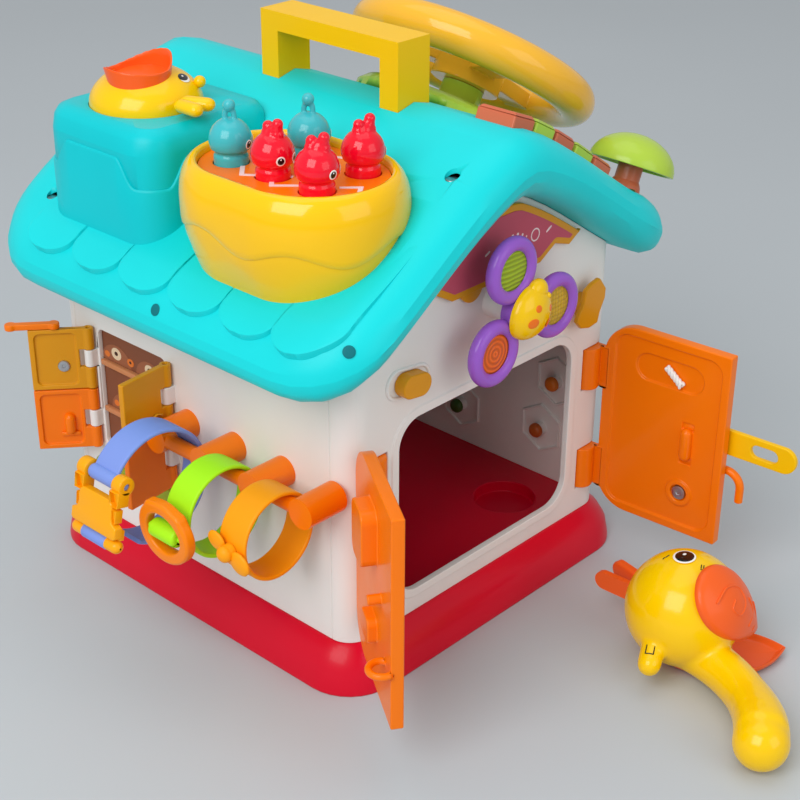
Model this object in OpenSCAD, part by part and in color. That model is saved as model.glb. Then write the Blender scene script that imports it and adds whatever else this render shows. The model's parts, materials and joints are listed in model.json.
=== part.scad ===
// Toddler's activity house: base, four walls, two-part roof, doors, locks, straps and a beater.
// Millimetres. +Z is up, the door gable faces -Y, the strap wall faces -X.
// The origin is the centre of the underside, on the floor.

/* [House] */
// Width between the outer faces of the side walls
house_w = 208; // [200:1:214]
// Depth between the outer faces of the gable walls
house_d = 224; // [218:1:230]
// Thickness of the walls
wall_t = 3; // [2.4:0.1:3.4]
// Radius of the upright wall corners
wall_corner = 13; // [11:0.5:15]

/* [Base] */
// How far the skirt stands out past the walls
base_over = 13; // [10:0.5:16]
// Height of the base up to the floor inside
base_h = 25; // [22:0.5:28]
// Plan radius of the skirt's corners
base_corner = 28; // [24:1:32]
// Thickness of the floor plate
floor_t = 3; // [2:0.1:4]
// Thickness of the plate that closes the underside
cover_t = 3; // [2:0.1:4]
// Diameter of the round recess in the floor
recess_d = 36; // [30:1:40]
// Depth of the round recess
recess_deep = 7; // [4:0.5:9]

/* [Roof] */
// Width over the eaves
roof_w = 278; // [270:1:286]
// Length along the ridge
roof_d = 274; // [268:1:280]
// Plan radius of the roof's front corners
roof_corner = 40; // [36:1:44]
// Plan radius of the roof's rear corners
roof_corner_rear = 48; // [44:1:54]
// Height of the parting line at the eaves
eave_z = 183; // [180:0.5:186]
// Rise of the parting line from eave to ridge
ridge_rise = 76; // [72:0.5:80]
// Height of the upper shell above the parting line
roof_up = 17; // [15.5:0.1:18.5]
// Depth of the lower shell below the parting line
roof_down = 17; // [15.5:0.1:18.5]
// Width of the rounded border of both shells
roof_edge = 20; // [17:0.5:23]
// Thickness of the roof shells
roof_t = 2.5; // [2:0.1:3]

/* [Carry handle] */
// Length along the ridge
handle_l = 98; // [92:0.5:106]
// Width of a leg along the ridge
handle_leg = 12.5; // [11:0.5:14]
// Thickness across the ridge
handle_t = 23; // [20:0.5:25]
// Height of the bar's top above the floor
handle_top_z = 308; // [306:0.5:312]
// Height of the bar
handle_bar = 10; // [8:0.5:12]
// How far the handle pushes down
handle_travel = 20; // [16:0.5:21]

/* [Front doors] */
// Width of the door opening
doorway_w = 138; // [130:1:142]
// Height of the door opening
doorway_h = 101.5; // [96:0.5:104]
// Height of the opening's lower edge
doorway_z = 39; // [37:0.5:42]
// Corner radius of the opening
doorway_r = 15; // [12:0.5:18]
// Distance of the hinge axes from where the leaves meet
hinge_x = 86.5; // [85:0.5:87]
// Lower edge of the leaves
leaf_z = 30; // [29:0.5:33]
// Height of the leaves
leaf_h = 115; // [112:0.5:116]
// Thickness of the leaves
leaf_t = 6.5; // [5.5:0.1:7]
// Radius of the leaves' hinge-side corners
leaf_r = 20; // [14:0.5:24]
// Diameter of the hinge knuckles
knuckle_d = 14; // [12:0.5:15]
// Height of each knuckle
knuckle_h = 25; // [20:0.5:27]
// Diameter of the hinge pins
pin_d = 3; // [2.5:0.1:3.5]
// How far the left leaf stands open
left_open = 124; // [90:1:126]
// How far the right leaf stands open
right_open = 94; // [80:1:125]

/* [Shop window] */
// Width of the window opening
window_w = 57; // [54:0.5:60]
// Height of the window opening
window_h = 72; // [68:0.5:74]
// Middle of the window along the strap wall
window_y = 57; // [55:0.5:59]
// Middle of the window's height
window_z = 107; // [105:0.5:109]
// Thickness of the shutters
shutter_t = 3.5; // [3:0.1:4]
// How far the rear shutters stand open
rear_open = 130; // [90:1:140]
// How far the front shutters stand open
front_open = 96; // [80:1:100]

/* [Strap rail] */
// Spacing of the posts
post_pitch = 36; // [35:0.5:38]
// Diameter of the posts
post_d = 16; // [14:0.5:16.5]
// How far the posts stand out from the wall
post_l = 24; // [22:0.5:26]
// Height of the rail
rail_z = 112; // [108:0.5:116]
// Diameter of the rail between the posts
rail_d = 8; // [7:0.5:9]
// Width of the straps
strap_w = 18; // [16:0.5:18.5]
// Thickness of the straps
strap_t = 2.2; // [1.8:0.1:2.6]
// Inner radius of the rear strap's loop
loop_rear = 29; // [27:0.5:31]
// Inner radius of the middle strap's loop
loop_middle = 22.5; // [21:0.5:24]
// Inner radius of the front strap's loop
loop_front = 21; // [19:0.5:22]

/* [Pop-up game] */
// Height of the game's deck
deck_z = 262; // [260:0.5:264]
// Radius of the housing's bulge
game_r = 45; // [43:0.5:47]
// Half the straight length between the housing's round ends
game_half = 14; // [12:0.5:16]
// Spacing of the pegs in a row
peg_pitch = 29; // [28:0.5:30]
// Distance between the two rows
row_gap = 32; // [30:0.5:33]
// Radius of the pegs' round heads
peg_head_r = 10.5; // [9.5:0.1:11.5]
// Radius of the pegs' collars
peg_collar_r = 8.5; // [8:0.1:9]
// How far a peg pushes down
peg_travel = 6; // [4:0.5:6.5]

/* [Duck tower] */
// Size of the tower along the eave
tower_l = 87; // [84:0.5:90]
// Height of the tower's flat top
tower_z = 270; // [268:0.5:273]
// Distance of the tower's front face from the middle
tower_x = 118; // [116:0.5:120]
// Radius of the duck's head
duck_r = 29; // [27:0.5:30]
// Height of the duck's head above the tower
duck_h = 19; // [17:0.5:22]
// How far the duck presses down
duck_travel = 3; // [2:0.25:4]

/* [Driving side] */
// Outside radius of the steering wheel
wheel_r = 72; // [68:0.5:74]
// Radius of the wheel's rim
rim_r = 11; // [9.5:0.5:12]
// Height of the wheel's rim above the roof
wheel_h = 38; // [36:0.5:41]
// Radius of the round dashboard
dash_r = 56; // [50:0.5:60]
// Radius of the wheel's shaft
shaft_r = 6; // [5:0.1:7]
// Width of a piano key down the slope
key_w = 17; // [15:0.5:17.5]
// Length of a piano key along the eave
key_l = 24; // [20:0.5:26]
// How far a key stands above the roof
key_h = 6.5; // [5:0.5:8]
// How far a key presses down
key_travel = 2.5; // [1.5:0.25:3]
// Radius of the gear knob
knob_r = 24; // [21:0.5:25]
// Height of the gear knob's rim above the roof
knob_h = 13; // [12:0.5:16]

/* [Spinner] */
// Distance of the ring centres from the axle
lobe_reach = 26.5; // [25:0.25:28]
// Outside radius of a ring
lobe_r = 17.5; // [16:0.25:18]
// Radius of the ring's round section
lobe_tube = 3.8; // [3:0.1:4.2]
// Height of the spinner's axle
spinner_z = 185; // [183:0.5:187]
// Distance of the spinner's back from the wall
spinner_off = 15; // [13:0.5:17]

/* [Beater] */
// Radius of the beater's round body
beater_r = 31; // [29:0.5:31.5]
// Radius of the beater's handle
grip_r = 11.5; // [10:0.5:12]

/* [Fits] */
// Gap between loose pieces
gap = 0.3; // [0.2:0.05:0.5]
// Radial clearance of a turning fit
run = 0.05; // [0.02:0.01:0.1]

/* [Hidden] */
$fn = 48;

eps = 0.01;
house_hx = house_w / 2;
house_hy = house_d / 2;
front_y = -106;
mid_y = front_y + house_hy;
base_hx = house_hx + base_over;
base_hy = house_hy + base_over;
roof_mid = front_y - 25 + roof_d / 2;
door_mid = 2;

// Roof surfaces: the parting line falls from ridge to eave in an easy S
ridge_soft = 0.05;
nx = 32;
ny = 24;
function fall(t) = 0.2 * (1 + cos(180 * min(t, 1))) + 0.6 * (1 + ridge_soft - sqrt(t * t + ridge_soft * ridge_soft));
function parting_z(x) = eave_z + ridge_rise * fall(abs(x) * 2 / roof_w);
function edge_share(d, e) = d >= e ? 1 : sqrt(max(0, 1 - pow(1 - max(d, 0) / e, 2)));
function top_z(x) = parting_z(x) + roof_up * edge_share(roof_w / 2 - abs(x), roof_edge);
function under_z(x) = parting_z(x) - roof_down * edge_share(roof_w / 2 - abs(x), roof_edge);
function slope_deg(x) = -atan((parting_z(x + 1) - parting_z(x - 1)) / 2);
function station(i, n) = sin(90 * (2 * i / n - 1));
function half_x(y, inset) =
    let(
        r = (y < roof_mid ? roof_corner : roof_corner_rear) - inset,
        past = max(0, abs(y - roof_mid) - (roof_d / 2 - inset - r))
    )
    roof_w / 2 - inset - r + sqrt(max(0, r * r - past * past));

// Places on the roof
peg_x = 83;
peg_y = -51;
tower_y = 57.5;
duck_at = [-79, 61];
wheel_at = [77, -6];
key_first_x = 14;
key_step_x = 16.5;
key_y = -98;
knob_at = [roof_w / 2 - 20, key_y];
pegs = concat(
    [for (k = [1, 0, -1]) [-peg_x - row_gap / 2 + 3, peg_y + k * peg_pitch]],
    [for (k = [1, -1]) [-peg_x + row_gap / 2 + 3, peg_y - 9 + k * 18]]
);
roof_front = roof_mid - roof_d / 2;
roof_rear = roof_mid + roof_d / 2;
roof_screw_at = [
    [-36, roof_rear - 25], [36, roof_rear - 25],
    [31 - roof_w / 2, roof_rear - 35], [roof_w / 2 - 31, roof_rear - 35],
    [-36, roof_front + 22], [24 - roof_w / 2, roof_front + 23], [roof_w / 2 - 41, roof_front + 15]
];
base_screw_at = [for (sx = [-1, 1], sy = [-1, 1]) [sx * 84, mid_y + sy * 90]];
screw_head_r = 3.6;
screw_shank_r = 1.5;

// Door leaves: u runs from the hinge axis to the free edge, w from the axis outwards
hinge_y = front_y + 2.5;
pin_r = pin_d / 2;
knuckle_r = knuckle_d / 2;
knuckle_mid = [leaf_z + 23, leaf_z + 86];
leaf_w0 = 3.9;
leaf_w1 = leaf_w0 + leaf_t;
leaf_u0 = 8;
leaf_u1 = hinge_x - 0.6;
arm_t = 3.5;
rim_t = 0.8;
slot_in = 8;
slot_out = 11.5;
hasp_z = leaf_z + 61;
hasp_h = 15;
hasp_t = 3;
hasp_past = 31;
hook_u = leaf_u1 - 4;
hook_z = leaf_z + 24.8;
hook_r = 9;
hook_tube = 2.3;
hook_lift = gap + 2.5;
ring_u = 2 * hinge_x - hook_u + 6 - 2 * hook_r;
ring_z = leaf_z + 31;
ring_r = 6.2;
ring_tube = 1.8;

// Shutters
shutter_out = 3.5;
shutter_axis_x = -house_hx - shutter_out;
shutter_axis_off = window_w / 2 + 4;
shutter_u1 = shutter_axis_off - gap;
shutter_h = window_h / 2 + 1;
shutter_barrel_r = 3;
shutter_pin_r = 1.25;
lug_h = 10;
lug_half = 3;
shutters = [
    [1, 1, rear_open], [1, -1, rear_open], [-1, 1, front_open], [-1, -1, front_open]
];
bolt_l = 23;
bolt_r = shutter_out - gap;
bolt_t = 3.5;
bolt_u = 18;

// Strap loops hang on the rail, which runs through the posts
post_y = [for (i = [0:3]) 11 - i * post_pitch];
strap_y = [for (i = [0:2]) (post_y[i] + post_y[i + 1]) / 2];
rail_x = -house_hx - post_l + 4;
rail_r = rail_d / 2;
loop_r = [loop_rear, loop_middle, loop_front];
loop_tilt = [203, 232, 237];
function loop_at(i) =
    let(d = loop_r[i] - rail_r - gap)
    [rail_x + d * cos(loop_tilt[i]), strap_y[i], rail_z + d * sin(loop_tilt[i])];
buckle_turn = 152;
buckle_end = 226;
strap_end_clear = 13;
buckle_drop = 30.5;
buckle_lean = -12.5;
roller_r = 4;
roller_pin_r = 1.8;
function on_loop(i, a, r) = [loop_at(i)[0] + r * cos(a), strap_y[i], loop_at(i)[2] + r * sin(a)];

// Colours of the mouldings
turquoise = [0.13, 0.82, 0.84];
red = [0.84, 0.02, 0.16];
white = [0.93, 0.91, 0.89];
orange = [0.98, 0.49, 0.04];
mustard = [0.87, 0.59, 0.07];
yellow = [1, 0.79, 0.08];
lime = [0.69, 0.96, 0.1];
steel = [0.7, 0.7, 0.72];

// Rounded rectangle, centred
module round_rect(hx, hy, r) {
    square([2 * hx, 2 * (hy - r)], center = true);
    square([2 * (hx - r), 2 * hy], center = true);
    for (sx = [-1, 1], sy = [-1, 1])
        translate([sx * (hx - r), sy * (hy - r)])
            circle(r);
}

// Slot outline along X, centred
module obround(l, r) {
    square([l - 2 * r, 2 * r], center = true);
    for (s = [-1, 1])
        translate([s * (l / 2 - r), 0])
            circle(r);
}

// Stand an XZ outline up, from y0 towards -Y by depth
module upright(y0, depth) {
    translate([0, y0, 0])
        rotate([90, 0, 0])
            linear_extrude(depth)
                children();
}

// Outline of everything below the roof's outer top, raised by lift
module under_top(lift) {
    polygon(concat(
        [for (i = [0:nx]) [roof_w / 2 * station(i, nx), top_z(roof_w / 2 * station(i, nx)) + lift]],
        [[roof_w / 2, 90], [-roof_w / 2, 90]]
    ));
}

// Solid below the roof's outer top
module roof_mass(lift) {
    upright(roof_mid + roof_d / 2, roof_d)
        under_top(lift);
}

// Solid above the lower shell's underside, lowered by drop
module above_under(drop) {
    upright(roof_mid + roof_d / 2, roof_d)
        polygon(concat(
            [for (i = [0:nx]) [roof_w / 2 * station(i, nx), under_z(roof_w / 2 * station(i, nx)) - drop]],
            [[roof_w / 2, 330], [-roof_w / 2, 330]]
        ));
}

// Put children on the roof's top with Z along its slope's normal
module on_slope(x, y) {
    translate([x, y, top_z(x)])
        rotate([0, slope_deg(x), 0])
            children();
}

function shell_point(i, j, inset, lift) =
    let(
        y = roof_mid + (roof_d / 2 - inset) * station(j, ny),
        hx = half_x(y, inset),
        x = hx * station(i, nx),
        e = roof_edge - inset,
        f = edge_share(hx - abs(x), e) * edge_share(roof_d / 2 - inset - abs(y - roof_mid), e)
    )
    [x, y, parting_z(x) + lift * f];

// One roof shell: side 1 is the upper half, side -1 the lower half
module roof_shell(side, rise) {
    count = (nx + 1) * (ny + 1);
    outer = [for (j = [0:ny], i = [0:nx]) shell_point(i, j, 0, side * rise)];
    inner = [for (j = [0:ny], i = [0:nx]) shell_point(i, j, roof_t, side * (rise - roof_t))];
    function o(i, j) = j * (nx + 1) + i;
    function n(i, j) = count + o(i, j);
    skin = [for (j = [0:ny - 1], i = [0:nx - 1]) each [
        [o(i, j), o(i, j + 1), o(i + 1, j + 1)], [o(i, j), o(i + 1, j + 1), o(i + 1, j)],
        [n(i, j), n(i + 1, j + 1), n(i, j + 1)], [n(i, j), n(i + 1, j), n(i + 1, j + 1)]
    ]];
    ends = [for (i = [0:nx - 1]) each [
        [o(i, 0), o(i + 1, 0), n(i + 1, 0)], [o(i, 0), n(i + 1, 0), n(i, 0)],
        [n(i, ny), n(i + 1, ny), o(i + 1, ny)], [n(i, ny), o(i + 1, ny), o(i, ny)]
    ]];
    sides = [for (j = [0:ny - 1]) each [
        [o(0, j), n(0, j), n(0, j + 1)], [o(0, j), n(0, j + 1), o(0, j + 1)],
        [n(nx, j), o(nx, j), o(nx, j + 1)], [n(nx, j), o(nx, j + 1), n(nx, j + 1)]
    ]];
    faces = concat(skin, ends, sides);
    polyhedron(
        points = concat(outer, inner),
        faces = side > 0 ? faces : [for (f = faces) [f[0], f[2], f[1]]]
    );
}

module skirt_slice(z, inset, h) {
    translate([0, mid_y, z])
        linear_extrude(h)
            round_rect(base_hx - inset, base_hy - inset, base_corner - inset);
}

// Red tray: rounded skirt, floor, round recess and screw bosses
module base_tray() {
    lip_h = 3;
    rib = 2.5;
    recess_at = [66, -66];
    color(red) {
        difference() {
            hull($fn = 32) {
                skirt_slice(0, 0, lip_h);
                skirt_slice(base_h * 0.5, 2, 0.5);
                skirt_slice(base_h * 0.8, base_over * 0.5, 0.5);
                skirt_slice(base_h - 0.5, base_over - 1, 0.5);
            }
            skirt_slice(-1, 6, base_h * 0.4 + 1);
            skirt_slice(0, base_over + 3, base_h - floor_t);
            translate([recess_at[0], recess_at[1], base_h - floor_t - 1])
                cylinder(r = recess_d / 2, h = floor_t + 2);
        }
        difference() {
            translate([recess_at[0], recess_at[1], base_h - recess_deep - rib])
                cylinder(r = recess_d / 2 + rib, h = recess_deep + rib - floor_t);
            translate([recess_at[0], recess_at[1], base_h - recess_deep])
                cylinder(r = recess_d / 2, h = recess_deep + 1);
        }
        for (p = base_screw_at)
            difference() {
                translate([p[0], p[1], cover_t])
                    cylinder(r = 5, h = base_h - floor_t - cover_t);
                translate([p[0], p[1], cover_t - 1])
                    cylinder(r = screw_shank_r, h = 13);
            }
    }
}

// Flat plate that closes the underside
module base_cover() {
    color(red)
        difference() {
            skirt_slice(0, 6 + gap, cover_t);
            for (p = base_screw_at) {
                translate([p[0], p[1], -1])
                    cylinder(r = screw_shank_r + gap, h = cover_t + 2);
                translate([p[0], p[1], -1])
                    cylinder(r = screw_head_r + gap, h = 1 + cover_t / 2);
            }
        }
}

// All four walls as one ring, trimmed to the roof's underside
module wall_ring() {
    difference() {
        translate([0, mid_y, base_h])
            linear_extrude(250 - base_h)
                difference() {
                    round_rect(house_hx, house_hy, wall_corner);
                    round_rect(house_hx - wall_t, house_hy - wall_t, wall_corner - wall_t);
                }
        above_under(gap);
    }
}

// The piece of the ring that the gable on side s holds, with both rounded corners
module gable(s) {
    intersection() {
        wall_ring();
        translate([0, mid_y + s * (house_hy - wall_corner / 2), 150])
            cube([house_w + 2, wall_corner, 300], center = true);
    }
}

module side_panel(s) {
    intersection() {
        wall_ring();
        translate([s * house_hx, mid_y, 150])
            cube([2 * wall_corner, 2 * (house_hy - wall_corner), 300], center = true);
    }
}

module doorway(grow) {
    translate([0, doorway_z + doorway_h / 2])
        round_rect(doorway_w / 2 + grow, doorway_h / 2 + grow, doorway_r + grow);
}

// Door gable: opening with a raised rim, hinge slots with pin blocks, spinner boss
module wall_front() {
    block_h = 6;
    block_half = 5;
    color(white)
        difference() {
            union() {
                gable(-1);
                upright(front_y + eps, rim_t)
                    difference() {
                        doorway(5);
                        doorway(0);
                    }
                for (s = [-1, 1], z = knuckle_mid, t = [-1, 1])
                    translate([door_mid + s * hinge_x, hinge_y + 1.5, z + t * (knuckle_h / 2 + gap + block_h / 2)])
                        cube([2 * block_half, 7, block_h], center = true);
                translate([0, front_y + 1, spinner_z])
                    rotate([90, 0, 0])
                        cylinder(r = 8, h = spinner_off - gap + 1);
            }
            upright(front_y + 20, 30)
                doorway(0);
            for (s = [-1, 1], z = knuckle_mid) {
                translate([door_mid + s * (hinge_x + (slot_out - slot_in) / 2), front_y, z])
                    cube([slot_in + slot_out, 40, knuckle_h + 2 * gap], center = true);
                translate([door_mid + s * hinge_x, hinge_y, z])
                    cylinder(r = pin_r, h = knuckle_h + 2 * block_h - 2, center = true);
            }
            upright(front_y + 2, spinner_off + 3)
                translate([0, spinner_z])
                    circle(2.5);
        }
}

module wall_rear() {
    color(white)
        gable(1);
}

// Strap wall: window opening and the lugs that carry the shutters
module wall_left() {
    color(white)
        difference() {
            union() {
                side_panel(-1);
                for (s = [-1, 1], t = [-1, 1])
                    translate([shutter_axis_x, window_y + s * shutter_axis_off, window_z + t * shutter_h / 2])
                        lug();
            }
            translate([-house_hx, window_y, window_z])
                rotate([90, 0, 90])
                    linear_extrude(3 * wall_t, center = true)
                        round_rect(window_w / 2, window_h / 2, 4);
            for (s = [-1, 1], t = [-1, 1])
                translate([shutter_axis_x, window_y + s * shutter_axis_off, window_z + t * shutter_h / 2])
                    cylinder(r = shutter_pin_r, h = lug_h + 2, center = true);
        }
}

// A lug on the strap wall with a round nose at the shutter's axis
module lug() {
    cylinder(r = lug_half, h = lug_h, center = true);
    translate([2, 0, 0])
        cube([4, 2 * lug_half, lug_h], center = true);
}

// Plain far wall with three hexagon frames inside, each round a peg
module wall_right() {
    color(white) {
        side_panel(1);
        for (p = [[-2, 51], [-74, 91], [-64, 57]])
            translate([house_hx - wall_t + eps, p[0], p[1]])
                rotate([0, -90, 0]) {
                    linear_extrude(1.5)
                        difference() {
                            circle(r = 16, $fn = 6);
                            circle(r = 14.5, $fn = 6);
                        }
                    cylinder(r = 4, h = 5);
                }
    }
}

// Lower roof shell with the battery bay's mouth
module roof_lower() {
    color(turquoise)
        difference() {
            roof_shell(-1, roof_down);
            battery_place()
                translate([0, 0, -bay_deep])
                    cube([bay_l + 2 * gap, bay_w + 2 * gap, 30], center = true);
        }
}

// Upper roof shell with the holes for everything that passes through it
module roof_upper() {
    color(turquoise)
        difference() {
            roof_shell(1, roof_up);
            for (s = [-1, 1])
                translate([0, handle_mid + s * handle_leg_y, handle_top_z - 40])
                    cube([handle_t + 2 * gap, handle_leg + 2 * gap, 60], center = true);
            translate([-peg_x + 4, peg_y, 180])
                linear_extrude(120)
                    rotate(90)
                        obround(2 * (game_half + 34), 34);
            for (i = [0:4])
                key_place(i)
                    cube([key_w + 2 * key_gap, key_l + 2 * key_gap, 30], center = true);
            on_slope(knob_at[0], knob_at[1])
                cylinder(r = lever_ball_r + gap, h = 30, center = true);
            for (p = roof_screw_at)
                translate([p[0], p[1], 150])
                    cylinder(r = screw_head_r + gap, h = 150);
        }
}

// Screws of the base and of the roof, as separate solids
module case_screws() {
    color(steel) {
        for (p = base_screw_at)
            translate([p[0], p[1], 0.5]) {
                cylinder(r = screw_head_r, h = cover_t / 2 - 0.5);
                cylinder(r = screw_shank_r - run, h = 10);
            }
        for (p = roof_screw_at)
            roof_screw(p);
    }
}

// A roof screw: head just below the upper surface, tip on the lower shell's inner face
module roof_screw(p) {
    head_z = top_z(p[0]) - 5;
    tip_z = parting_z(abs(p[0]) + screw_shank_r) - roof_down + roof_t + 2.5;
    translate([p[0], p[1], head_z])
        cylinder(r = screw_head_r, h = 3);
    translate([p[0], p[1], tip_z])
        cylinder(r = screw_shank_r, h = head_z - tip_z + 1);
}

// Hinge pins of the doors and shutters, and the spinner's axle
module hinge_pins() {
    block_h = 6;
    color(steel) {
        for (s = [-1, 1], z = knuckle_mid)
            translate([door_mid + s * hinge_x, hinge_y, z])
                cylinder(r = pin_r - run, h = knuckle_h + 2 * block_h - 2.2, center = true);
        for (s = [-1, 1], t = [-1, 1])
            translate([shutter_axis_x, window_y + s * shutter_axis_off, window_z + t * shutter_h / 2])
                cylinder(r = shutter_pin_r - run, h = shutter_h - 3, center = true);
        upright(front_y + 1.9, spinner_off + 8)
            translate([0, spinner_z])
                circle(2.5 - run);
    }
}

module tower_slice(z, inset, h) {
    wide = 88;
    translate([-tower_x + wide / 2, tower_y, z])
        linear_extrude(h)
            round_rect(wide / 2 - inset, tower_l / 2 - inset, 18 - inset);
}

// Hollow tower on the rear of the slope, with a round hole for the duck
module duck_tower() {
    t = 2.5;
    color(turquoise)
        difference() {
            hull($fn = 32) {
                tower_slice(170, 0, tower_z - 182);
                tower_slice(tower_z - 6, 1.2, 0.5);
                tower_slice(tower_z - 2.5, 3.5, 0.5);
                tower_slice(tower_z - 0.5, 8, 0.5);
            }
            tower_slice(160, t, tower_z - 160 - 12);
            tower_slice(160, t + 8.5, tower_z - 160 - 3);
            translate([duck_at[0], duck_at[1], tower_z - 14])
                cylinder(r = duck_r + gap, h = 24);
            roof_mass(gap);
        }
}

// Outline of half the game's housing: rim, bulge, icing step and tapered foot
module housing_half() {
    rim_z = deck_z + 4;
    step_z = deck_z - 27;
    polygon(concat(
        [[game_r - 9, rim_z - 1.5], [game_r - 7.5, rim_z]],
        [for (a = [80:-20:-20]) [game_r - 8 + 8 * cos(a), deck_z - 10 + 14 * sin(a)]],
        [[game_r - 1.5, step_z], [game_r - 4, step_z - 2], [game_r - 8, step_z - 14]],
        [[game_r - 17, step_z - 42], [game_r - 19.5, step_z - 42]],
        [[game_r - 10.5, step_z - 14], [game_r - 6.5, step_z - 2], [game_r - 9, deck_z - 1]]
    ));
}

// Bread-shaped housing of the pop-up game, standing on the slope
module game_housing() {
    color(yellow)
        difference() {
            translate([-peg_x, peg_y, 0]) {
                for (s = [-1, 1])
                    translate([0, s * game_half, 0])
                        rotate([0, 0, s > 0 ? 0 : 180])
                            rotate_extrude(angle = 180)
                                housing_half();
                for (s = [0, 180])
                    rotate([0, 0, s])
                        upright(game_half, 2 * game_half)
                            housing_half();
            }
            roof_mass(gap);
        }
}

peg_floor = 20;
tube_r = peg_collar_r + gap + 1.5;

// Deck with a guide tube under each peg
module game_deck() {
    deck_t = 3;
    color(orange)
        difference() {
            union() {
                translate([-peg_x, peg_y, deck_z - deck_t])
                    linear_extrude(deck_t)
                        rotate(90)
                            obround(2 * (game_half + game_r - 9 - gap), game_r - 9 - gap);
                for (p = pegs)
                    translate([p[0], p[1], deck_z - peg_floor - 2])
                        cylinder(r = tube_r, h = peg_floor);
            }
            for (p = pegs) {
                translate([p[0], p[1], deck_z - peg_floor])
                    cylinder(r = peg_collar_r + gap, h = peg_floor + 1);
                translate([p[0], p[1], deck_z - peg_floor - 3])
                    cylinder(r = 3 + gap, h = 5);
            }
        }
}

peg_foot = 10;

// Return springs, one in each guide tube
module peg_springs() {
    color(steel)
        for (p = pegs)
            translate([p[0], p[1], deck_z - peg_floor])
                difference() {
                    cylinder(r = 6.5, h = peg_floor - peg_foot);
                    translate([0, 0, -1])
                        cylinder(r = 4.5, h = peg_floor);
                }
}

// A peg: stem, collar, round head and feeler
module pop_peg(k) {
    p = pegs[k];
    tall = k == 0 || k == 3 ? 6 : 3;
    head_z = peg_travel + gap + sqrt(pow(peg_head_r, 2) - pow(peg_collar_r, 2));
    color(k == 0 || k == 3 ? [0.24, 0.73, 0.75] : [0.94, 0.04, 0.16])
        translate([p[0], p[1], deck_z]) {
            translate([0, 0, -peg_floor - 2])
                cylinder(r = 3, h = peg_floor);
            translate([0, 0, -peg_foot])
                cylinder(r = peg_collar_r, h = peg_foot + head_z);
            translate([0, 0, head_z])
                sphere(peg_head_r);
            translate([0, 0, head_z + peg_head_r - 1])
                cylinder(r = 2.2, h = tall);
            translate([0, 0, head_z + peg_head_r + tall - 1])
                sphere(3.2);
        }
}

module peg_1() {
    pop_peg(0);
}

module peg_2() {
    pop_peg(1);
}

module peg_3() {
    pop_peg(2);
}

module peg_4() {
    pop_peg(3);
}

module peg_5() {
    pop_peg(4);
}

duck_skirt = 3;

beak_at = [duck_at[0] - 5, duck_at[1] - 3, tower_z + duck_h - 10];
beak_foot_r = 13;

// Duck's round head with its tufts, which presses into the tower
module duck_head() {
    color(yellow)
        difference() {
            translate([duck_at[0], duck_at[1], tower_z]) {
                rotate_extrude()
                    polygon(concat(
                        [[0, -8], [duck_r, -8]],
                        [for (a = [0:10:80]) [duck_r * cos(a), duck_h * sin(a)]],
                        [[0, duck_h]]
                    ));
                for (c = [[-1, -28, 6, 5], [8, -28, 6.5, 5], [18, -20, 8, 4]])
                    translate([c[0], c[1], c[2] + duck_travel])
                        sphere(c[3]);
            }
            translate([beak_at[0], beak_at[1], beak_at[2] - eps])
                cylinder(r1 = beak_foot_r, r2 = beak_foot_r + 8, h = 18);
        }
}

// Open scoop of a beak, seated in the duck's head
module duck_beak() {
    r = beak_foot_r - run;
    color([0.99, 0.42, 0.16])
        translate(beak_at)
            difference() {
                rotate_extrude()
                    polygon([
                        [0, 0], [r, 0], [r + 7, 20], [r + 5, 20], [r - 1.5, 2], [0, 2]
                    ]);
                translate([0, 0, 15])
                    rotate([0, -12, -47])
                        translate([-40, -40, 0])
                            cube([80, 80, 30]);
            }
}

handle_leg_y = handle_l / 2 - handle_leg / 2;
handle_mid = -2;

// Carry handle: bar, two legs through the roof and the lugs that stop them
module carry_handle() {
    foot_z = handle_top_z - 42;
    color(yellow) {
        translate([0, handle_mid, handle_top_z - handle_bar / 2])
            cube([handle_t, handle_l, handle_bar], center = true);
        for (s = [-1, 1]) {
            translate([-handle_t / 2, handle_mid + s * handle_leg_y - handle_leg / 2, foot_z])
                cube([handle_t, handle_leg, handle_top_z - handle_bar / 2 - foot_z]);
            translate([-handle_t / 2 - 2, handle_mid + s * handle_leg_y - handle_leg / 2, foot_z])
                cube([handle_t + 4, handle_leg, 1.5]);
        }
    }
}

dash_h = 9;
column_h = 24;

// Round dashboard on the far slope, with the wheel's column and shaft
module dashboard() {
    color([0.72, 0.85, 0.3])
        difference() {
            on_slope(wheel_at[0], wheel_at[1]) {
                translate([0, 0, -30])
                    cylinder(r = dash_r, h = 30 + dash_h - 4);
                translate([0, 0, dash_h - 4 - eps])
                    cylinder(r1 = dash_r, r2 = dash_r - 4, h = 4);
                cylinder(r = shaft_r + 6, h = column_h);
                cylinder(r = shaft_r, h = wheel_h + 2);
            }
            roof_mass(gap);
        }
}

// Steering wheel: rim, three spokes and a hub that turns on the shaft
module steering_wheel() {
    hub_r = 20;
    color([0.95, 0.72, 0.25])
        on_slope(wheel_at[0], wheel_at[1])
            difference() {
                union() {
                    translate([0, 0, wheel_h])
                        rotate_extrude()
                            translate([wheel_r - rim_r, 0])
                                circle(rim_r);
                    translate([0, 0, column_h + gap])
                        cylinder(r = hub_r, h = wheel_h + 6 - column_h);
                    for (a = [0, 120, 240])
                        rotate([0, 0, a])
                            translate([(wheel_r - rim_r) / 2, 0, wheel_h - 2])
                                cube([wheel_r - rim_r, 16, 9], center = true);
                }
                translate([0, 0, column_h - 1])
                    cylinder(r = shaft_r + run, h = wheel_h + 2 - column_h + 1 + gap);
            }
}

key_gap = 0.4;

module key_place(i) {
    on_slope(key_first_x + i * key_step_x, key_y)
        children();
}

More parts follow.
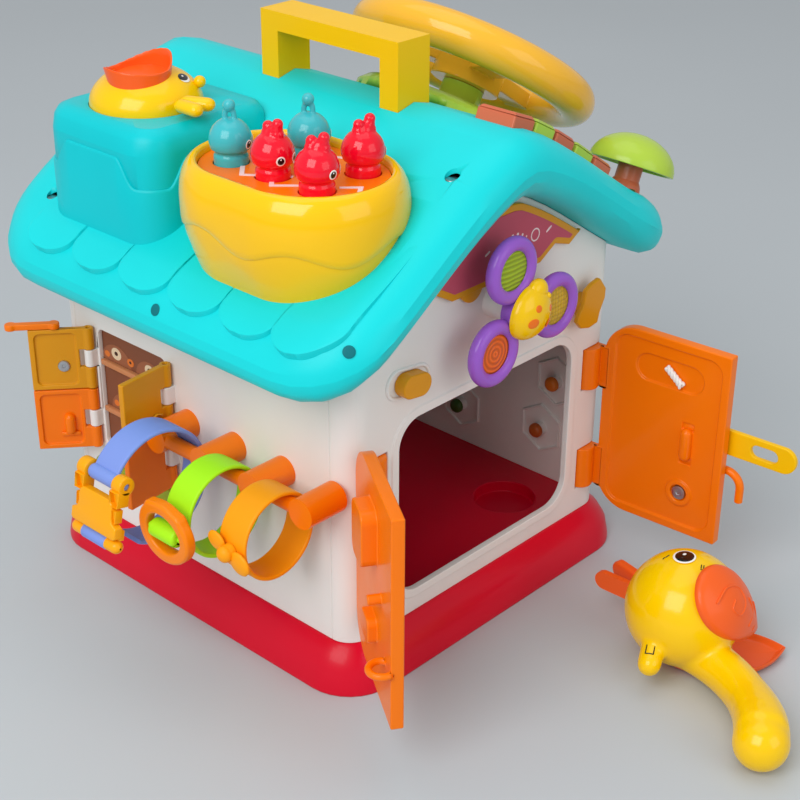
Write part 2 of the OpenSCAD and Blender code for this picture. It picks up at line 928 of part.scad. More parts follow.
// A piano key with a wider foot inside the roof
module piano_key(i) {
    foot = 9;
    color(i % 2 == 0 ? [0.93, 0.45, 0.3] : [0.74, 0.86, 0.42])
        key_place(i) {
            translate([-key_w / 2, -key_l / 2, -foot])
                cube([key_w, key_l, foot + key_h - 1.5]);
            translate([-key_w / 2 + 1, -key_l / 2 + 1, key_h - 1.5 - eps])
                cube([key_w - 2, key_l - 2, 1.5]);
            translate([-key_w / 2, -key_l / 2 - 2, -foot])
                cube([key_w, key_l + 4, 2]);
        }
}

module key_1() {
    piano_key(0);
}

module key_2() {
    piano_key(1);
}

module key_3() {
    piano_key(2);
}

module key_4() {
    piano_key(3);
}

module key_5() {
    piano_key(4);
}

lever_ball_r = 9;
lever_stem_r = 7;

// Gear lever: a ball in the roof and a stem
module gear_lever() {
    color([0.82, 0.42, 0.3])
        on_slope(knob_at[0], knob_at[1]) {
            sphere(lever_ball_r);
            cylinder(r = lever_stem_r, h = knob_h + 2);
        }
}

// Mushroom knob, hollow below
module gear_knob() {
    t = 2.5;
    dome = 18;
    color([0.66, 0.8, 0.32])
        on_slope(knob_at[0], knob_at[1])
            translate([0, 0, knob_h]) {
                rotate_extrude()
                    polygon(concat(
                        [for (a = [0:10:80]) [knob_r * cos(a), dome * sin(a)]],
                        [[0, dome], [0, dome - t]],
                        [for (a = [80:-10:0]) [(knob_r - t) * cos(a), (dome - t) * sin(a)]]
                    ));
                translate([0, 0, 2])
                    cylinder(r = lever_stem_r + 1, h = dome - t - 2);
            }
}

lobe_turn = [111, -11, 217];
spinner_t = 8;

// Put children at the spinner's axle, Z outwards from the wall
module spinner_place() {
    translate([0, front_y - spinner_off, spinner_z])
        rotate([90, 0, 0])
            children();
}

// Three rings round a hub that turns on the axle
module spinner_frame() {
    color([0.63, 0.36, 0.78])
        spinner_place()
            difference() {
                union() {
                    cylinder(r = 12, h = spinner_t);
                    for (a = lobe_turn)
                        rotate([0, 0, a])
                            translate([lobe_reach, 0, spinner_t / 2])
                                rotate_extrude()
                                    translate([lobe_r - lobe_tube, 0])
                                        circle(lobe_tube);
                }
                translate([0, 0, -1])
                    cylinder(r = 2.5 + run, h = 8);
                for (a = lobe_turn)
                    rotate([0, 0, a])
                        translate([lobe_reach, 0, spinner_t / 2])
                            cylinder(r = lobe_r - 2 * lobe_tube + 1.5, h = 2.5, center = true);
            }
}

// Soft pads held in the rings
module spinner_pads() {
    color([0.75, 0.68, 0.12])
        spinner_place()
            for (a = lobe_turn)
                rotate([0, 0, a])
                    translate([lobe_reach, 0, spinner_t / 2])
                        cylinder(r = lobe_r - 2 * lobe_tube + 1.5 - run, h = 2.5 - 2 * run, center = true);
}

// Chick's face on the hub
module spinner_cap() {
    cap_r = 14;
    color(yellow)
        spinner_place()
            translate([0, 0, spinner_t + run]) {
                rotate_extrude()
                    polygon(concat(
                        [[0, 0]],
                        [for (a = [0:15:75]) [cap_r * cos(a), 8 * sin(a)]],
                        [[0, 8]]
                    ));
                translate([0, 13, 0])
                    cylinder(r = 5, h = 4);
            }
}

sign_foot = spinner_z + 11;
function sign_end(x) = under_z(x) - 4 > sign_foot + sign_corner ? sign_end(x + 0.5) : x;
sign_corner = 8.6;

// Scroll-ended sign under the gable
module sign_plate() {
    foot = sign_foot;
    reach = sign_end(30);
    color(mustard)
        upright(front_y, 3)
            polygon(concat(
                [for (x = [-reach:6:reach]) [x, min(under_z(x) - 4, under_z(0) - 8)]],
                [[reach + 2, foot + 9], [reach - 8, foot + 3], [reach - 20, foot + 7]],
                [[reach - 32, foot], [32 - reach, foot]],
                [[20 - reach, foot + 7], [8 - reach, foot + 3], [-reach - 2, foot + 9]]
            ));
}

// Hooks beside the doorway's top: a short oval peg and a flared tongue on a stem
module gable_hooks() {
    color(mustard) {
        upright(front_y, 7)
            translate([-62.5, 162])
                rotate(-8)
                    obround(20, 6.2);
        upright(front_y, 6 + eps)
            translate([73, 160])
                circle(6.5);
        upright(front_y - 6, 3)
            polygon([
                [61, 154.5], [65, 150], [72, 148], [79.5, 149], [81, 154.5], [85, 162],
                [85.4, 167.5], [79.5, 175], [72.5, 173.5], [67.5, 171], [66, 163], [62.5, 158.5]
            ]);
    }
}

// Four posts and the rail through them
module strap_rail() {
    color(orange) {
        for (y = post_y)
            translate([-house_hx, y, rail_z])
                rotate([0, -90, 0])
                    cylinder(r = post_d / 2, h = post_l);
        translate([rail_x, post_y[3], rail_z])
            rotate([-90, 0, 0])
                cylinder(r = rail_r, h = post_y[0] - post_y[3]);
    }
}

// Brown panel behind the window with two ledges
module shelf_panel() {
    panel_x = -house_hx + wall_t;
    color([0.51, 0.3, 0.2]) {
        translate([panel_x, window_y - window_w / 2 - 4, window_z - window_h / 2 - 4])
            cube([2.5, window_w + 8, window_h + 8]);
        for (t = [-1, 1])
            translate([panel_x - wall_t + 0.5, window_y - window_w / 2 + gap, window_z + t * window_h / 5])
                cube([wall_t, window_w - 2 * gap, 3]);
    }
}

// Row of bushes below the window
module bush_trim() {
    foot = window_z - window_h / 2 - 15;
    color([0.59, 0.63, 0.08])
        translate([-house_hx, 0, 0])
            rotate([0, -90, 0])
                linear_extrude(4)
                    for (k = [-3:3])
                        translate([foot + (k % 2 == 0 ? 2 : 0), window_y + k * 9])
                            circle(7.5 + (abs(k) == 3 ? 2 : 0));
}

// Closed leaf in u, z, w: X runs from the free edge to the hinge, -Y is outwards
module leaf_blank() {
    difference() {
        union() {
            upright(-leaf_w0, leaf_t)
                translate([-(leaf_u0 + leaf_u1) / 2, leaf_z + leaf_h / 2]) {
                    square([leaf_u1 - leaf_u0 - 2 * leaf_r, leaf_h], center = true);
                    translate([leaf_r / 2, 0])
                        square([leaf_u1 - leaf_u0 - leaf_r, leaf_h - 2 * leaf_r], center = true);
                    translate([-(leaf_u1 - leaf_u0) / 2, -leaf_h / 2])
                        square([leaf_r, leaf_h]);
                    for (t = [-1, 1])
                        translate([(leaf_u1 - leaf_u0) / 2 - leaf_r, t * (leaf_h / 2 - leaf_r)])
                            circle(leaf_r);
                }
            for (z = knuckle_mid) {
                translate([0, 0, z])
                    cylinder(r = knuckle_r, h = knuckle_h, center = true);
                translate([-leaf_u0 - 3, -leaf_w0 - arm_t + eps, z - knuckle_h / 2])
                    cube([leaf_u0 + 3, arm_t, knuckle_h]);
            }
        }
        for (z = knuckle_mid)
            translate([0, 0, z])
                cylinder(r = pin_r, h = knuckle_h + 2, center = true);
        upright(-leaf_w0 + 1, 2.5)
            translate([-(leaf_u0 + leaf_u1) / 2 - 1, leaf_z + leaf_h / 2])
                round_rect((leaf_u1 - leaf_u0) / 2 - 6, leaf_h / 2 - 5, 8);
    }
}

// Left leaf, built as a right one and mirrored: staple ring, catch and raised panels
module door_left() {
    catch_u = leaf_u1 - 20;
    color(orange)
        translate([door_mid - hinge_x, hinge_y, 0])
            rotate([0, 0, -left_open])
                mirror([1, 0, 0]) {
                    leaf_blank();
                    translate([-ring_u, -leaf_w1 - hook_lift, ring_z])
                        intersection() {
                            rotate_extrude()
                                translate([ring_r, 0])
                                    circle(ring_tube);
                            translate([-15, -20, -5])
                                cube([30, 21 + hook_lift, 10]);
                        }
                    upright(-leaf_w1 + eps, 7)
                        translate([-catch_u, hasp_z])
                            circle(2.6);
                    upright(-leaf_w1 + eps, 8)
                        translate([-48, leaf_z + 87])
                            round_rect(11, 15, 6);
                    upright(-leaf_w1 + eps, 5)
                        translate([-50, leaf_z + 36])
                            round_rect(8, 7, 4);
                }
}

// Right leaf: finger recess, clip slots and screw boss on its inner face, latch seats outside
module door_right() {
    color(orange)
        translate([door_mid + hinge_x, hinge_y, 0])
            rotate([0, 0, right_open])
                difference() {
                    union() {
                        leaf_blank();
                        upright(-leaf_w0 - 0.5, 2)
                            translate([-61, leaf_z + 24])
                                circle(8);
                        for (t = [-1, 1])
                            hasp_place()
                                translate([0, 0, t * (hasp_h / 2 + gap + 1.5)])
                                    hasp_ear();
                        hook_place()
                            translate([0, 0, -leaf_t / 2])
                                cylinder(r = 1.8, h = leaf_t / 2 + 6.5);
                    }
                    upright(-leaf_w0 + 1, 4)
                        translate([-49, leaf_z + 94])
                            obround(42, 8);
                    for (z = [66, 45])
                        upright(0, 20)
                            translate([-63, leaf_z + z])
                                square([7, 4], center = true);
                    upright(-leaf_w0 + 1, 3.5)
                        translate([-61, leaf_z + 24])
                            circle(5);
                    hasp_place()
                        cylinder(r = 1.25, h = 30, center = true);
                }
}

hasp_u = leaf_u1 - 9;
hasp_w = leaf_w1 + 3.2;

// Put children at the hasp's upright axis on the closed leaf
module hasp_place() {
    translate([-hasp_u, -hasp_w, hasp_z])
        children();
}

module hasp_ear() {
    cylinder(r = 2.8, h = 3, center = true);
    translate([0, 1.8, 0])
        cube([5.6, 3.8, 3], center = true);
}

// Slotted hasp with its own pivot pin
module hasp() {
    reach = leaf_u1 - hasp_u + hasp_past;
    color(yellow)
        translate([door_mid + hinge_x, hinge_y, 0])
            rotate([0, 0, right_open])
                hasp_place()
                    difference() {
                        union() {
                            cylinder(r = 2.6, h = hasp_h, center = true);
                            cylinder(r = 1.25 - run, h = hasp_h + 5, center = true);
                            translate([0, hasp_t / 2 - 0.4, 0])
                                rotate([90, 0, 0])
                                    linear_extrude(hasp_t)
                                        translate([-reach / 2, 0]) {
                                            square([reach, hasp_h], center = true);
                                            translate([-reach / 2, 0])
                                                circle(hasp_h / 2);
                                        }
                        }
                        upright(10, 20)
                            translate([hasp_u - leaf_u1 - 20, 0])
                                obround(16, 3.8);
                    }
}

// Put children at the hook's pivot on the leaf's outer face, Z outwards
module hook_place() {
    translate([-hook_u + 6, -leaf_w1, hook_z])
        rotate([90, 0, 0])
            children();
}

// Bent hook that turns on a stud of the right leaf
module hook_latch() {
    color(orange)
        translate([door_mid + hinge_x, hinge_y, 0])
            rotate([0, 0, right_open])
                hook_place()
                    difference() {
                        union() {
                            translate([0, 0, gap])
                                cylinder(r = 4.5, h = 5);
                            translate([0, 0, hook_lift])
                                rotate([-90, 0, 0])
                                    cylinder(r = hook_tube, h = 10);
                            translate([-hook_r, 10, hook_lift])
                                rotate_extrude(angle = 180)
                                    translate([hook_r, 0])
                                        circle(hook_tube);
                            translate([-2 * hook_r, 2, hook_lift])
                                rotate([-90, 0, 0])
                                    cylinder(r = hook_tube, h = 8);
                        }
                        cylinder(r = 1.8 + run, h = 20, center = true);
                    }
}

// Shutter k, built closed from its axis along -Y, outwards is -X, then swung open
module shutter(k) {
    s = shutters[k][0];
    t = shutters[k][1];
    tint = t > 0 ? mustard : orange;
    color(tint)
        translate([shutter_axis_x, window_y + s * shutter_axis_off, window_z + t * shutter_h / 2])
            mirror([0, s > 0 ? 0 : 1, 0])
                rotate([0, 0, -shutters[k][2]])
                    difference() {
                        union() {
                            translate([-shutter_t / 2, -shutter_u1, -shutter_h / 2 + gap])
                                cube([shutter_t, shutter_u1, shutter_h - 2 * gap]);
                            cylinder(r = shutter_barrel_r, h = shutter_h - 2 * gap, center = true);
                        }
                        translate([0, 0, 0])
                            cube([2 * lug_half + 5, 2 * lug_half + 5, lug_h + 2 * gap], center = true);
                        cylinder(r = shutter_pin_r, h = shutter_h + 2, center = true);
                        translate([shutter_t / 2, -shutter_u1 / 2 - 2, 0])
                            rotate([0, 90, 0])
                                linear_extrude(3, center = true)
                                    round_rect(shutter_h / 2 - 3, shutter_u1 / 2 - 5, 3);
                    }
}

module shutter_1() {
    shutter(0);
    shutter_stud();
}

module shutter_2() {
    shutter(1);
}

module shutter_3() {
    shutter(2);
}

module shutter_4() {
    shutter(3);
}

// Put children on the upper rear shutter's top edge at the bolt's pivot
module bolt_place() {
    translate([shutter_axis_x, window_y + shutter_axis_off, window_z + shutter_h - gap])
        rotate([0, 0, -rear_open])
            translate([0, -bolt_u, 0])
                children();
}

module shutter_stud() {
    color(mustard)
        bolt_place()
            translate([0, 0, -1])
                cylinder(r = 1.2, h = 3.5);
}

// Bone-shaped bolt on the shutter's top edge
module shutter_bolt() {
    color(orange)
        bolt_place()
            translate([0, 0, gap])
                difference() {
                    union() {
                        translate([-2.2, -bolt_l, 0])
                            cube([4.4, bolt_l, bolt_t]);
                        for (y = [0, -bolt_l])
                            translate([0, y, 0])
                                cylinder(r = bolt_r, h = bolt_t);
                    }
                    translate([0, 0, -1])
                        cylinder(r = 1.2 + run, h = 3.6);
                }
}

// Strap band: part of a ring about the loop's centre, from angle a0 to a1
module strap_band(i, a0, a1) {
    translate(loop_at(i))
        rotate([90, 0, 0])
            rotate([0, 0, a0])
                rotate_extrude(angle = a1 - a0)
                    translate([loop_r[i], -strap_w / 2])
                        square([strap_t, strap_w]);
}

module across(i, a, r) {
    translate(on_loop(i, a, r))
        rotate([90, 0, 0])
            children();
}

// Rear strap: a loop open at the buckle, with a roller at its upper end
module strap_rear() {
    color([0.51, 0.61, 0.88]) {
        strap_band(0, buckle_end - 360 + strap_end_clear, buckle_turn);
        across(0, buckle_turn, loop_rear + strap_t / 2)
            cylinder(r = roller_r, h = strap_w - 1, center = true);
        across(0, buckle_turn, loop_rear + strap_t / 2)
            cylinder(r = roller_pin_r, h = strap_w + 14, center = true);
    }
}

// Clasp that hangs from the rear strap's roller and reaches its lower end
module buckle() {
    top = on_loop(0, buckle_turn, loop_rear + strap_t / 2);
    drop = buckle_drop;
    ear_y = strap_w / 2 + 4.5;
    color([1, 0.67, 0.09])
        translate(top)
            rotate([0, -buckle_lean, 0])
                difference() {
                    union() {
                        for (s = [-1, 1]) {
                            translate([0, s * ear_y, 0])
                                rotate([90, 0, 0])
                                    cylinder(r = roller_r + 1, h = 7, center = true);
                            translate([-3, s * ear_y, -5])
                                cube([6, 7, 10], center = true);
                        }
                        translate([-3.5, 0, -drop / 2 - 1])
                            cube([5, strap_w + 8, drop - 14], center = true);
                        translate([-2, 0, -drop + 4])
                            cube([7, strap_w + 17, 7], center = true);
                        translate([-1, 0, -drop - 1.5])
                            rotate([90, 0, 0])
                                cylinder(r = roller_r - 0.5, h = strap_w + 17, center = true);
                    }
                    rotate([90, 0, 0])
                        cylinder(r = roller_pin_r + run, h = 60, center = true);
                }
}

ring_turn = 183;
ring_out = loop_middle + strap_t + 6;
ring_hole = strap_w / 2 + 2.3;
ring_band = 6;
ring_pin_half = ring_hole + 2.7;

// Middle strap: a closed loop with a roller that stands off its outer side
module strap_middle() {
    color(lime) {
        strap_band(1, 0, 360);
        across(1, ring_turn, ring_out)
            cylinder(r = 4.5, h = strap_w, center = true);
        across(1, ring_turn, ring_out)
            cylinder(r = roller_pin_r, h = 2 * ring_pin_half, center = true);
        across(1, ring_turn, ring_out)
            rotate([0, 0, ring_turn])
                translate([-3.5, 0, 0])
                    cube([7, 5, strap_w - 6], center = true);
    }
}

// Ring that swings on the middle strap's roller
module strap_ring() {
    color([1, 0.51, 0.05])
        across(1, ring_turn, ring_out)
            rotate([0, 0, ring_turn])
                difference() {
                    rotate([0, 90, 0])
                        linear_extrude(6.5, center = true)
                            difference() {
                                circle(ring_hole + ring_band);
                                circle(ring_hole);
                            }
                    cylinder(r = roller_pin_r + run, h = 2 * ring_pin_half + 2 * gap, center = true);
                }
}

toggle_turn = 182;

// Front strap: a closed loop with a stud for the toggle
module strap_front() {
    color([1, 0.63, 0.08]) {
        strap_band(2, 0, 360);
        toggle_place()
            translate([0, 0, -1.5])
                cylinder(r = 2, h = 6.5);
    }
}

// Put children on the front strap's outside, Z outwards
module toggle_place() {
    translate(on_loop(2, toggle_turn, loop_front + strap_t))
        rotate([0, 90 - toggle_turn, 0])
            children();
}

// Two-winged twist toggle
module toggle() {
    color([1, 0.6, 0.06])
        toggle_place()
            translate([0, 0, gap])
                difference() {
                    union() {
                        cylinder(r = 4, h = 7);
                        for (s = [-1, 1])
                            rotate([0, 0, -23])
                                translate([0, s * 8, 0])
                                    cylinder(r = 6, h = 3.5);
                    }
                    translate([0, 0, -1])
                        cylinder(r = 2 + run, h = 6);
                }
}

bay_l = 62;
bay_w = 52;
bay_deep = 17;

// Put children in the cavity under the far slope, Z along the slope's normal
module battery_place() {
    on_slope(80, 62)
        translate([0, 0, -roof_up * cos(slope_deg(80)) - 1])
            children();
}

// Battery holder with three cells
module battery_pack() {
    color([0.2, 0.2, 0.22])
        battery_place()
            translate([0, 0, -5])
                cube([bay_l - 4, bay_w - 4, 13], center = true);
}

// Cover of the battery bay, flush with the ceiling
module battery_cover() {
    color(turquoise)
        battery_place()
            translate([0, 0, -13])
                cube([bay_l, bay_w, 2], center = true);
}

skin = roof_t + 0.5;

// Sound board under the keys, hung from the upper shell on four pillars
module circuit_board() {
    board = [56, 36, 1.6];
    deep = 12;
    color([0.1, 0.45, 0.2])
        on_slope(66, -52) {
            translate([0, 0, -deep])
                cube(board, center = true);
            for (sx = [-1, 1], sy = [-1, 1])
                translate([sx * 23, sy * 14, -deep])
                    cylinder(r = 2.5, h = deep - skin);
        }
}

// Speaker against the upper shell
module speaker() {
    color([0.15, 0.15, 0.17])
        on_slope(66, 10) {
            translate([0, 0, -skin - 3])
                cylinder(r = 18, h = 3);
            translate([0, 0, -skin - 10])
                cylinder(r = 10, h = 8);
        }
}

beater_at = [36, -212.5];
bend_r = 81;
grip_z = grip_r + 2;

// Put children at the middle of the beater's body, which lies on the floor
module beater_place() {
    translate([beater_at[0], beater_at[1], beater_r])
        children();
}

// Round body, bent grip with a rounded end and a foot, all grown by g
module beater_shape(g) {
    bend = [-88, -8, grip_z - beater_r];
    end_a = -60;
    foot_r = 6.3;
    foot_l = 22;
    sphere(beater_r + g);
    translate(bend)
        rotate([0, 0, end_a])
            rotate_extrude(angle = 58)
                translate([bend_r, 0])
                    circle(grip_r + g);
    translate([bend[0] + bend_r * cos(end_a), bend[1] + bend_r * sin(end_a), grip_r + 2.5 - beater_r])
        sphere(grip_r + 2.5 + g);
    translate([-18, 4, -6])
        rotate([0, -112, 26]) {
            cylinder(r = foot_r + g, h = foot_l);
            translate([0, 0, foot_l])
                sphere(foot_r + g);
        }
}

// Duck-shaped beater
module beater() {
    color(yellow)
        beater_place()
            beater_shape(0);
}

// Pointed oval
module leaf_shape(l, w) {
    r = (l * l + w * w) / (4 * w);
    intersection_for (s = [-1, 1])
        translate([0, s * (r - w / 2)])
            circle(r, $fn = 96);
}

// Both wings and the two halves of the bill
module beater_trim() {
    wing = [58, 40];
    color([0.99, 0.42, 0.16])
        difference() {
            beater_place() {
                rotate([0, 0, -85])
                    rotate([0, 62, 0])
                        rotate([0, 0, 40])
                            translate([5, 0, beater_r - 7])
                                linear_extrude(9)
                                    leaf_shape(wing[0], wing[1]);
                translate([12, -16, 0.5 - beater_r])
                    rotate([0, 0, -42])
                        linear_extrude(4)
                            leaf_shape(wing[0] + 8, wing[1] + 6);
                for (s = [0, 1])
                    translate([3 + s * 5, 18, bill_z - beater_r])
                        rotate([0, 0, 92 - s * 14])
                            linear_extrude(bill_h)
                                translate([18, 0])
                                    obround(42, 2.2);
            }
            beater_place()
                beater_shape(run);
        }
}

bill_h = 10.5;
bill_z = leaf_z - bill_h - 0.7;

base_tray();
base_cover();
wall_front();
wall_rear();
wall_left();
wall_right();
roof_lower();
roof_upper();
case_screws();
hinge_pins();
duck_tower();
game_housing();
game_deck();
peg_springs();
sign_plate();
gable_hooks();
strap_rail();
shelf_panel();
bush_trim();
dashboard();
circuit_board();
speaker();
battery_pack();
battery_cover();
carry_handle();
peg_1();
peg_2();
peg_3();
peg_4();
peg_5();
duck_head();
duck_beak();
steering_wheel();
key_1();
key_2();
key_3();
key_4();
key_5();
gear_lever();
gear_knob();
spinner_frame();
spinner_pads();
spinner_cap();
door_left();
door_right();
hasp();
hook_latch();
shutter_1();
shutter_2();
shutter_3();
shutter_4();
shutter_bolt();
strap_rear();
buckle();
strap_middle();
strap_ring();
strap_front();
toggle();
beater();
beater_trim();
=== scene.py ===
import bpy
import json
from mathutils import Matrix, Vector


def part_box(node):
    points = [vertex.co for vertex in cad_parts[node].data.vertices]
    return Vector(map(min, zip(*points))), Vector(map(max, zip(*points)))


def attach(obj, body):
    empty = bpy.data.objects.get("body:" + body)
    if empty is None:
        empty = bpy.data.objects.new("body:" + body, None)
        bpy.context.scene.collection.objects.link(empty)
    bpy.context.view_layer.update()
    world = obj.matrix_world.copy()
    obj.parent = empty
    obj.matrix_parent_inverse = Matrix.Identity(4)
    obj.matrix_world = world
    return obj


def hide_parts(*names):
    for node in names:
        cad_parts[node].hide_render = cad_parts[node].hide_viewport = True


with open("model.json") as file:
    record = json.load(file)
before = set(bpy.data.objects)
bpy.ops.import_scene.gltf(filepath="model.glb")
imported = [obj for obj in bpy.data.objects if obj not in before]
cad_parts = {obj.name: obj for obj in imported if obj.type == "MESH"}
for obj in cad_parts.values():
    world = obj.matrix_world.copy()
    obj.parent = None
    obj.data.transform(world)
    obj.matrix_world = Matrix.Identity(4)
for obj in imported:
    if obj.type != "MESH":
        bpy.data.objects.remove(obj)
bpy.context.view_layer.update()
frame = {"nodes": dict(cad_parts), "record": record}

import json
import math
import bmesh
import bpy
from mathutils import Matrix, Vector

mm = 0.001
nodeOf = frame["nodes"]
bodyOf = {n: b for b, members in frame["record"]["behaviour"]["bodies"].items() for n in members}


# finishes: a socket that takes Python arithmetic, and a finish that makes any node
class Sock:
    def __init__(self, finish, socket):
        self.finish, self.socket = finish, socket

    def calc(self, operation, *values):
        return self.finish.node("ShaderNodeMath", {"operation": operation}, dict(enumerate(values)))

    def __add__(self, other):
        return self.calc("ADD", self, other)

    def __mul__(self, other):
        return self.calc("MULTIPLY", self, other)

    def __rsub__(self, other):
        return self.calc("SUBTRACT", other, self)

    __radd__ = __add__
    __rmul__ = __mul__


class Finish:
    def __init__(self, name):
        self.material = bpy.data.materials.new(name)
        self.material.use_nodes = True
        self.tree = self.material.node_tree
        self.shader = self.tree.nodes["Principled BSDF"]
        self.place = self.node("ShaderNodeTexCoord", out="Object")

    def node(self, kind, settings=None, values=None, out=0):
        made = self.tree.nodes.new(kind)
        for key, value in (settings or {}).items():
            setattr(made, key, value)
        self.feed(made, values or {})
        return Sock(self, made.outputs[out])

    def feed(self, made, values):
        for key, value in values.items():
            if isinstance(value, Sock):
                self.tree.links.new(value.socket, made.inputs[key])
            else:
                made.inputs[key].default_value = value

    def mix(self, share, first, second):
        return self.node("ShaderNodeMix", {"data_type": "RGBA"}, {0: share, 6: first, 7: second}, out=2)

    def speckle(self, scale, detail=2.0, rough=0.5):
        return self.node("ShaderNodeTexNoise", None,
                         {"Vector": self.place, "Scale": scale, "Detail": detail, "Roughness": rough})

    def bump(self, height, strength, distance):
        return self.node("ShaderNodeBump", None,
                         {"Strength": strength, "Distance": distance, "Height": height})

    def surface(self, **values):
        self.feed(self.shader, {key.replace("_", " "): value for key, value in values.items()})


def tint(red, green, blue, share=1.0):
    linear = [c / 255 / 12.92 if c <= 10 else ((c / 255 + 0.055) / 1.055) ** 2.4 for c in (red, green, blue)]
    return [min(1.0, c * share) for c in linear] + [1.0]


# injection-moulded plastic: slow drift of colour, fine spark-eroded grain, faint scuffs
def moulded(name, rgb, rough, grain=0.06, gloss=0.0):
    finish = Finish(name)
    drift = finish.speckle(14, 3)
    scuff = finish.speckle(75, 7, 0.72)
    fine = finish.speckle(1400, 2)
    shade = finish.mix(drift, tint(*rgb, share=0.92), tint(*rgb, share=1.06))
    finish.surface(Base_Color=shade, Roughness=rough - 0.07 + scuff * 0.14,
                   Normal=finish.bump(fine, grain, 0.0003), Coat_Weight=gloss * 0.6,
                   Coat_Roughness=0.06, Specular_IOR_Level=0.22)
    return finish


def brushed(name, rgb, rough):
    finish = Finish(name)
    wear = finish.speckle(260, 6, 0.7)
    finish.surface(Base_Color=finish.mix(wear, tint(*rgb, share=0.75), tint(*rgb)), Metallic=1.0,
                   Roughness=rough - 0.08 + wear * 0.16, Normal=finish.bump(wear, 0.12, 0.0002))
    return finish


# plastics: material name, colour, roughness, grain and gloss
plastics = dict(
    turquoise=("roofTurquoise", (16, 214, 218), 0.42, 0.10),
    tower=("towerTurquoise", (0, 198, 206), 0.38, 0.08),
    red=("baseRed", (216, 0, 40), 0.34, 0.05, 0.15),
    white=("wallWhite", (236, 232, 228), 0.40, 0.07),
    orange=("doorOrange", (255, 122, 0), 0.33, 0.05, 0.2),
    mustard=("shutterMustard", (222, 150, 16), 0.36, 0.05, 0.15),
    yellow=("handleYellow", (255, 198, 0), 0.36, 0.06, 0.1),
    glaze=("housingGlaze", (255, 196, 0), 0.16, 0.02, 0.7),
    duck=("duckYellow", (255, 202, 0), 0.2, 0.02, 0.5),
    scarlet=("pegScarlet", (240, 10, 42), 0.14, 0.015, 0.8),
    teal=("pegTeal", (64, 184, 192), 0.18, 0.02, 0.6),
    amber=("clipAmber", (255, 170, 10), 0.34, 0.05, 0.15),
    wheel=("wheelAmber", (248, 186, 52), 0.16, 0.02, 0.6),
    lime=("knobLime", (178, 208, 70), 0.24, 0.03, 0.4),
    coral=("stemCoral", (210, 108, 76), 0.3, 0.04, 0.2),
    purple=("ringPurple", (158, 94, 204), 0.24, 0.03, 0.35),
    brown=("panelBrown", (132, 78, 54), 0.4, 0.04),
    olive=("bushOlive", (150, 162, 24), 0.36, 0.05, 0.1),
    blueStrap=("strapBlue", (128, 152, 224), 0.5, 0.10),
    limeStrap=("strapLime", (172, 242, 26), 0.46, 0.08),
    orangeStrap=("strapOrange", (255, 160, 8), 0.44, 0.08),
    ring=("ringOrange", (255, 134, 4), 0.34, 0.05, 0.2),
    black=("eyeBlack", (14, 13, 14), 0.12, 0.01, 0.8),
    bright=("eyeWhite", (244, 242, 238), 0.2, 0.01, 0.5),
    board=("boardGreen", (24, 108, 52), 0.4, 0.05),
    soot=("caseBlack", (38, 38, 42), 0.45, 0.08),
    # dark teal of the screw wells: painted shade
    paintedWellShade=("paintedWellShade", (0, 112, 120), 0.6, 0.05),
    spot=("spotOrange", (248, 120, 14), 0.25, 0.02, 0.4),
    pink=("signPink", (196, 80, 100), 0.4, 0.03),
    chalk=("markChalk", (240, 214, 214), 0.5, 0.03),
    scoop=("beakScoop", (250, 96, 28), 0.3, 0.04, 0.25),
    wing=("beaterWing", (244, 98, 32), 0.34, 0.04, 0.2),
    ledge=("ledgeTan", (205, 135, 90), 0.42, 0.04),
)
paints = {key: moulded(*values) for key, values in plastics.items()}
paints["steel"] = brushed("screwSteel", (196, 197, 200), 0.3)
print("finishes made:", len(paints))


# the photograph's view: a long lens from the front left, above the eaves
view = dict(turn=-47.2026, lift=27.5324, roll=0.347, lens=73.685, at=(-0.584476, -0.584157, 0.521042))


def placeCamera():
    lens = bpy.data.cameras.new("photoLens")
    lens.lens, lens.sensor_width, lens.clip_end = view["lens"], 36, 30
    camera = bpy.data.objects.new("photoCamera", lens)
    bpy.context.scene.collection.objects.link(camera)
    turn = Matrix.Rotation(math.radians(view["turn"]), 4, "Z")
    tip = Matrix.Rotation(math.radians(90 - view["lift"]), 4, "X")
    roll = Matrix.Rotation(math.radians(view["roll"]), 4, "Z")
    camera.matrix_world = Matrix.Translation(view["at"]) @ turn @ tip @ roll
    bpy.context.scene.camera = camera


# soft room light, a broad key from the strap wall's side and a weak fill on the gable
studio = dict(room=0.52, floor=(188, 194, 198),
              lamps=[("keyPanel", (-1.5, -0.35, 1.35), 1.3, 23.0), ("topPanel", (0.1, 0.2, 1.9), 1.6, 7.0),
                     ("frontPanel", (0.1, -1.8, 0.9), 1.2, 6.0)])


def lightStudio():
    scene = bpy.context.scene
    scene.view_settings.view_transform = "Standard"
    world = bpy.data.worlds.new("softRoom")
    world.use_nodes = True
    world.node_tree.nodes["Background"].inputs[0].default_value = (0.97, 0.985, 1.0, 1)
    world.node_tree.nodes["Background"].inputs[1].default_value = studio["room"]
    scene.world = world
    for name, at, size, power in studio["lamps"]:
        lamp = bpy.data.lights.new(name, "AREA")
        lamp.size, lamp.energy = size, power
        holder = bpy.data.objects.new(name, lamp)
        scene.collection.objects.link(holder)
        holder.location = at
        holder.rotation_euler = (Vector((0, 0, 0.15)) - Vector(at)).to_track_quat("-Z", "Y").to_euler()
    bm = bmesh.new()
    bmesh.ops.create_grid(bm, x_segments=1, y_segments=1, size=6)
    mesh = bpy.data.meshes.new("studioFloor")
    bm.to_mesh(mesh)
    floor = bpy.data.objects.new("studioFloor", mesh)
    scene.collection.objects.link(floor)
    finish = Finish("floorPaper")
    cloud = finish.speckle(2.5, 2)
    shade = finish.mix(cloud, tint(*studio["floor"], share=0.97), tint(*studio["floor"], share=1.03))
    finish.surface(Base_Color=shade, Roughness=0.6, Specular_IOR_Level=0.25)
    mesh.materials.append(finish.material)


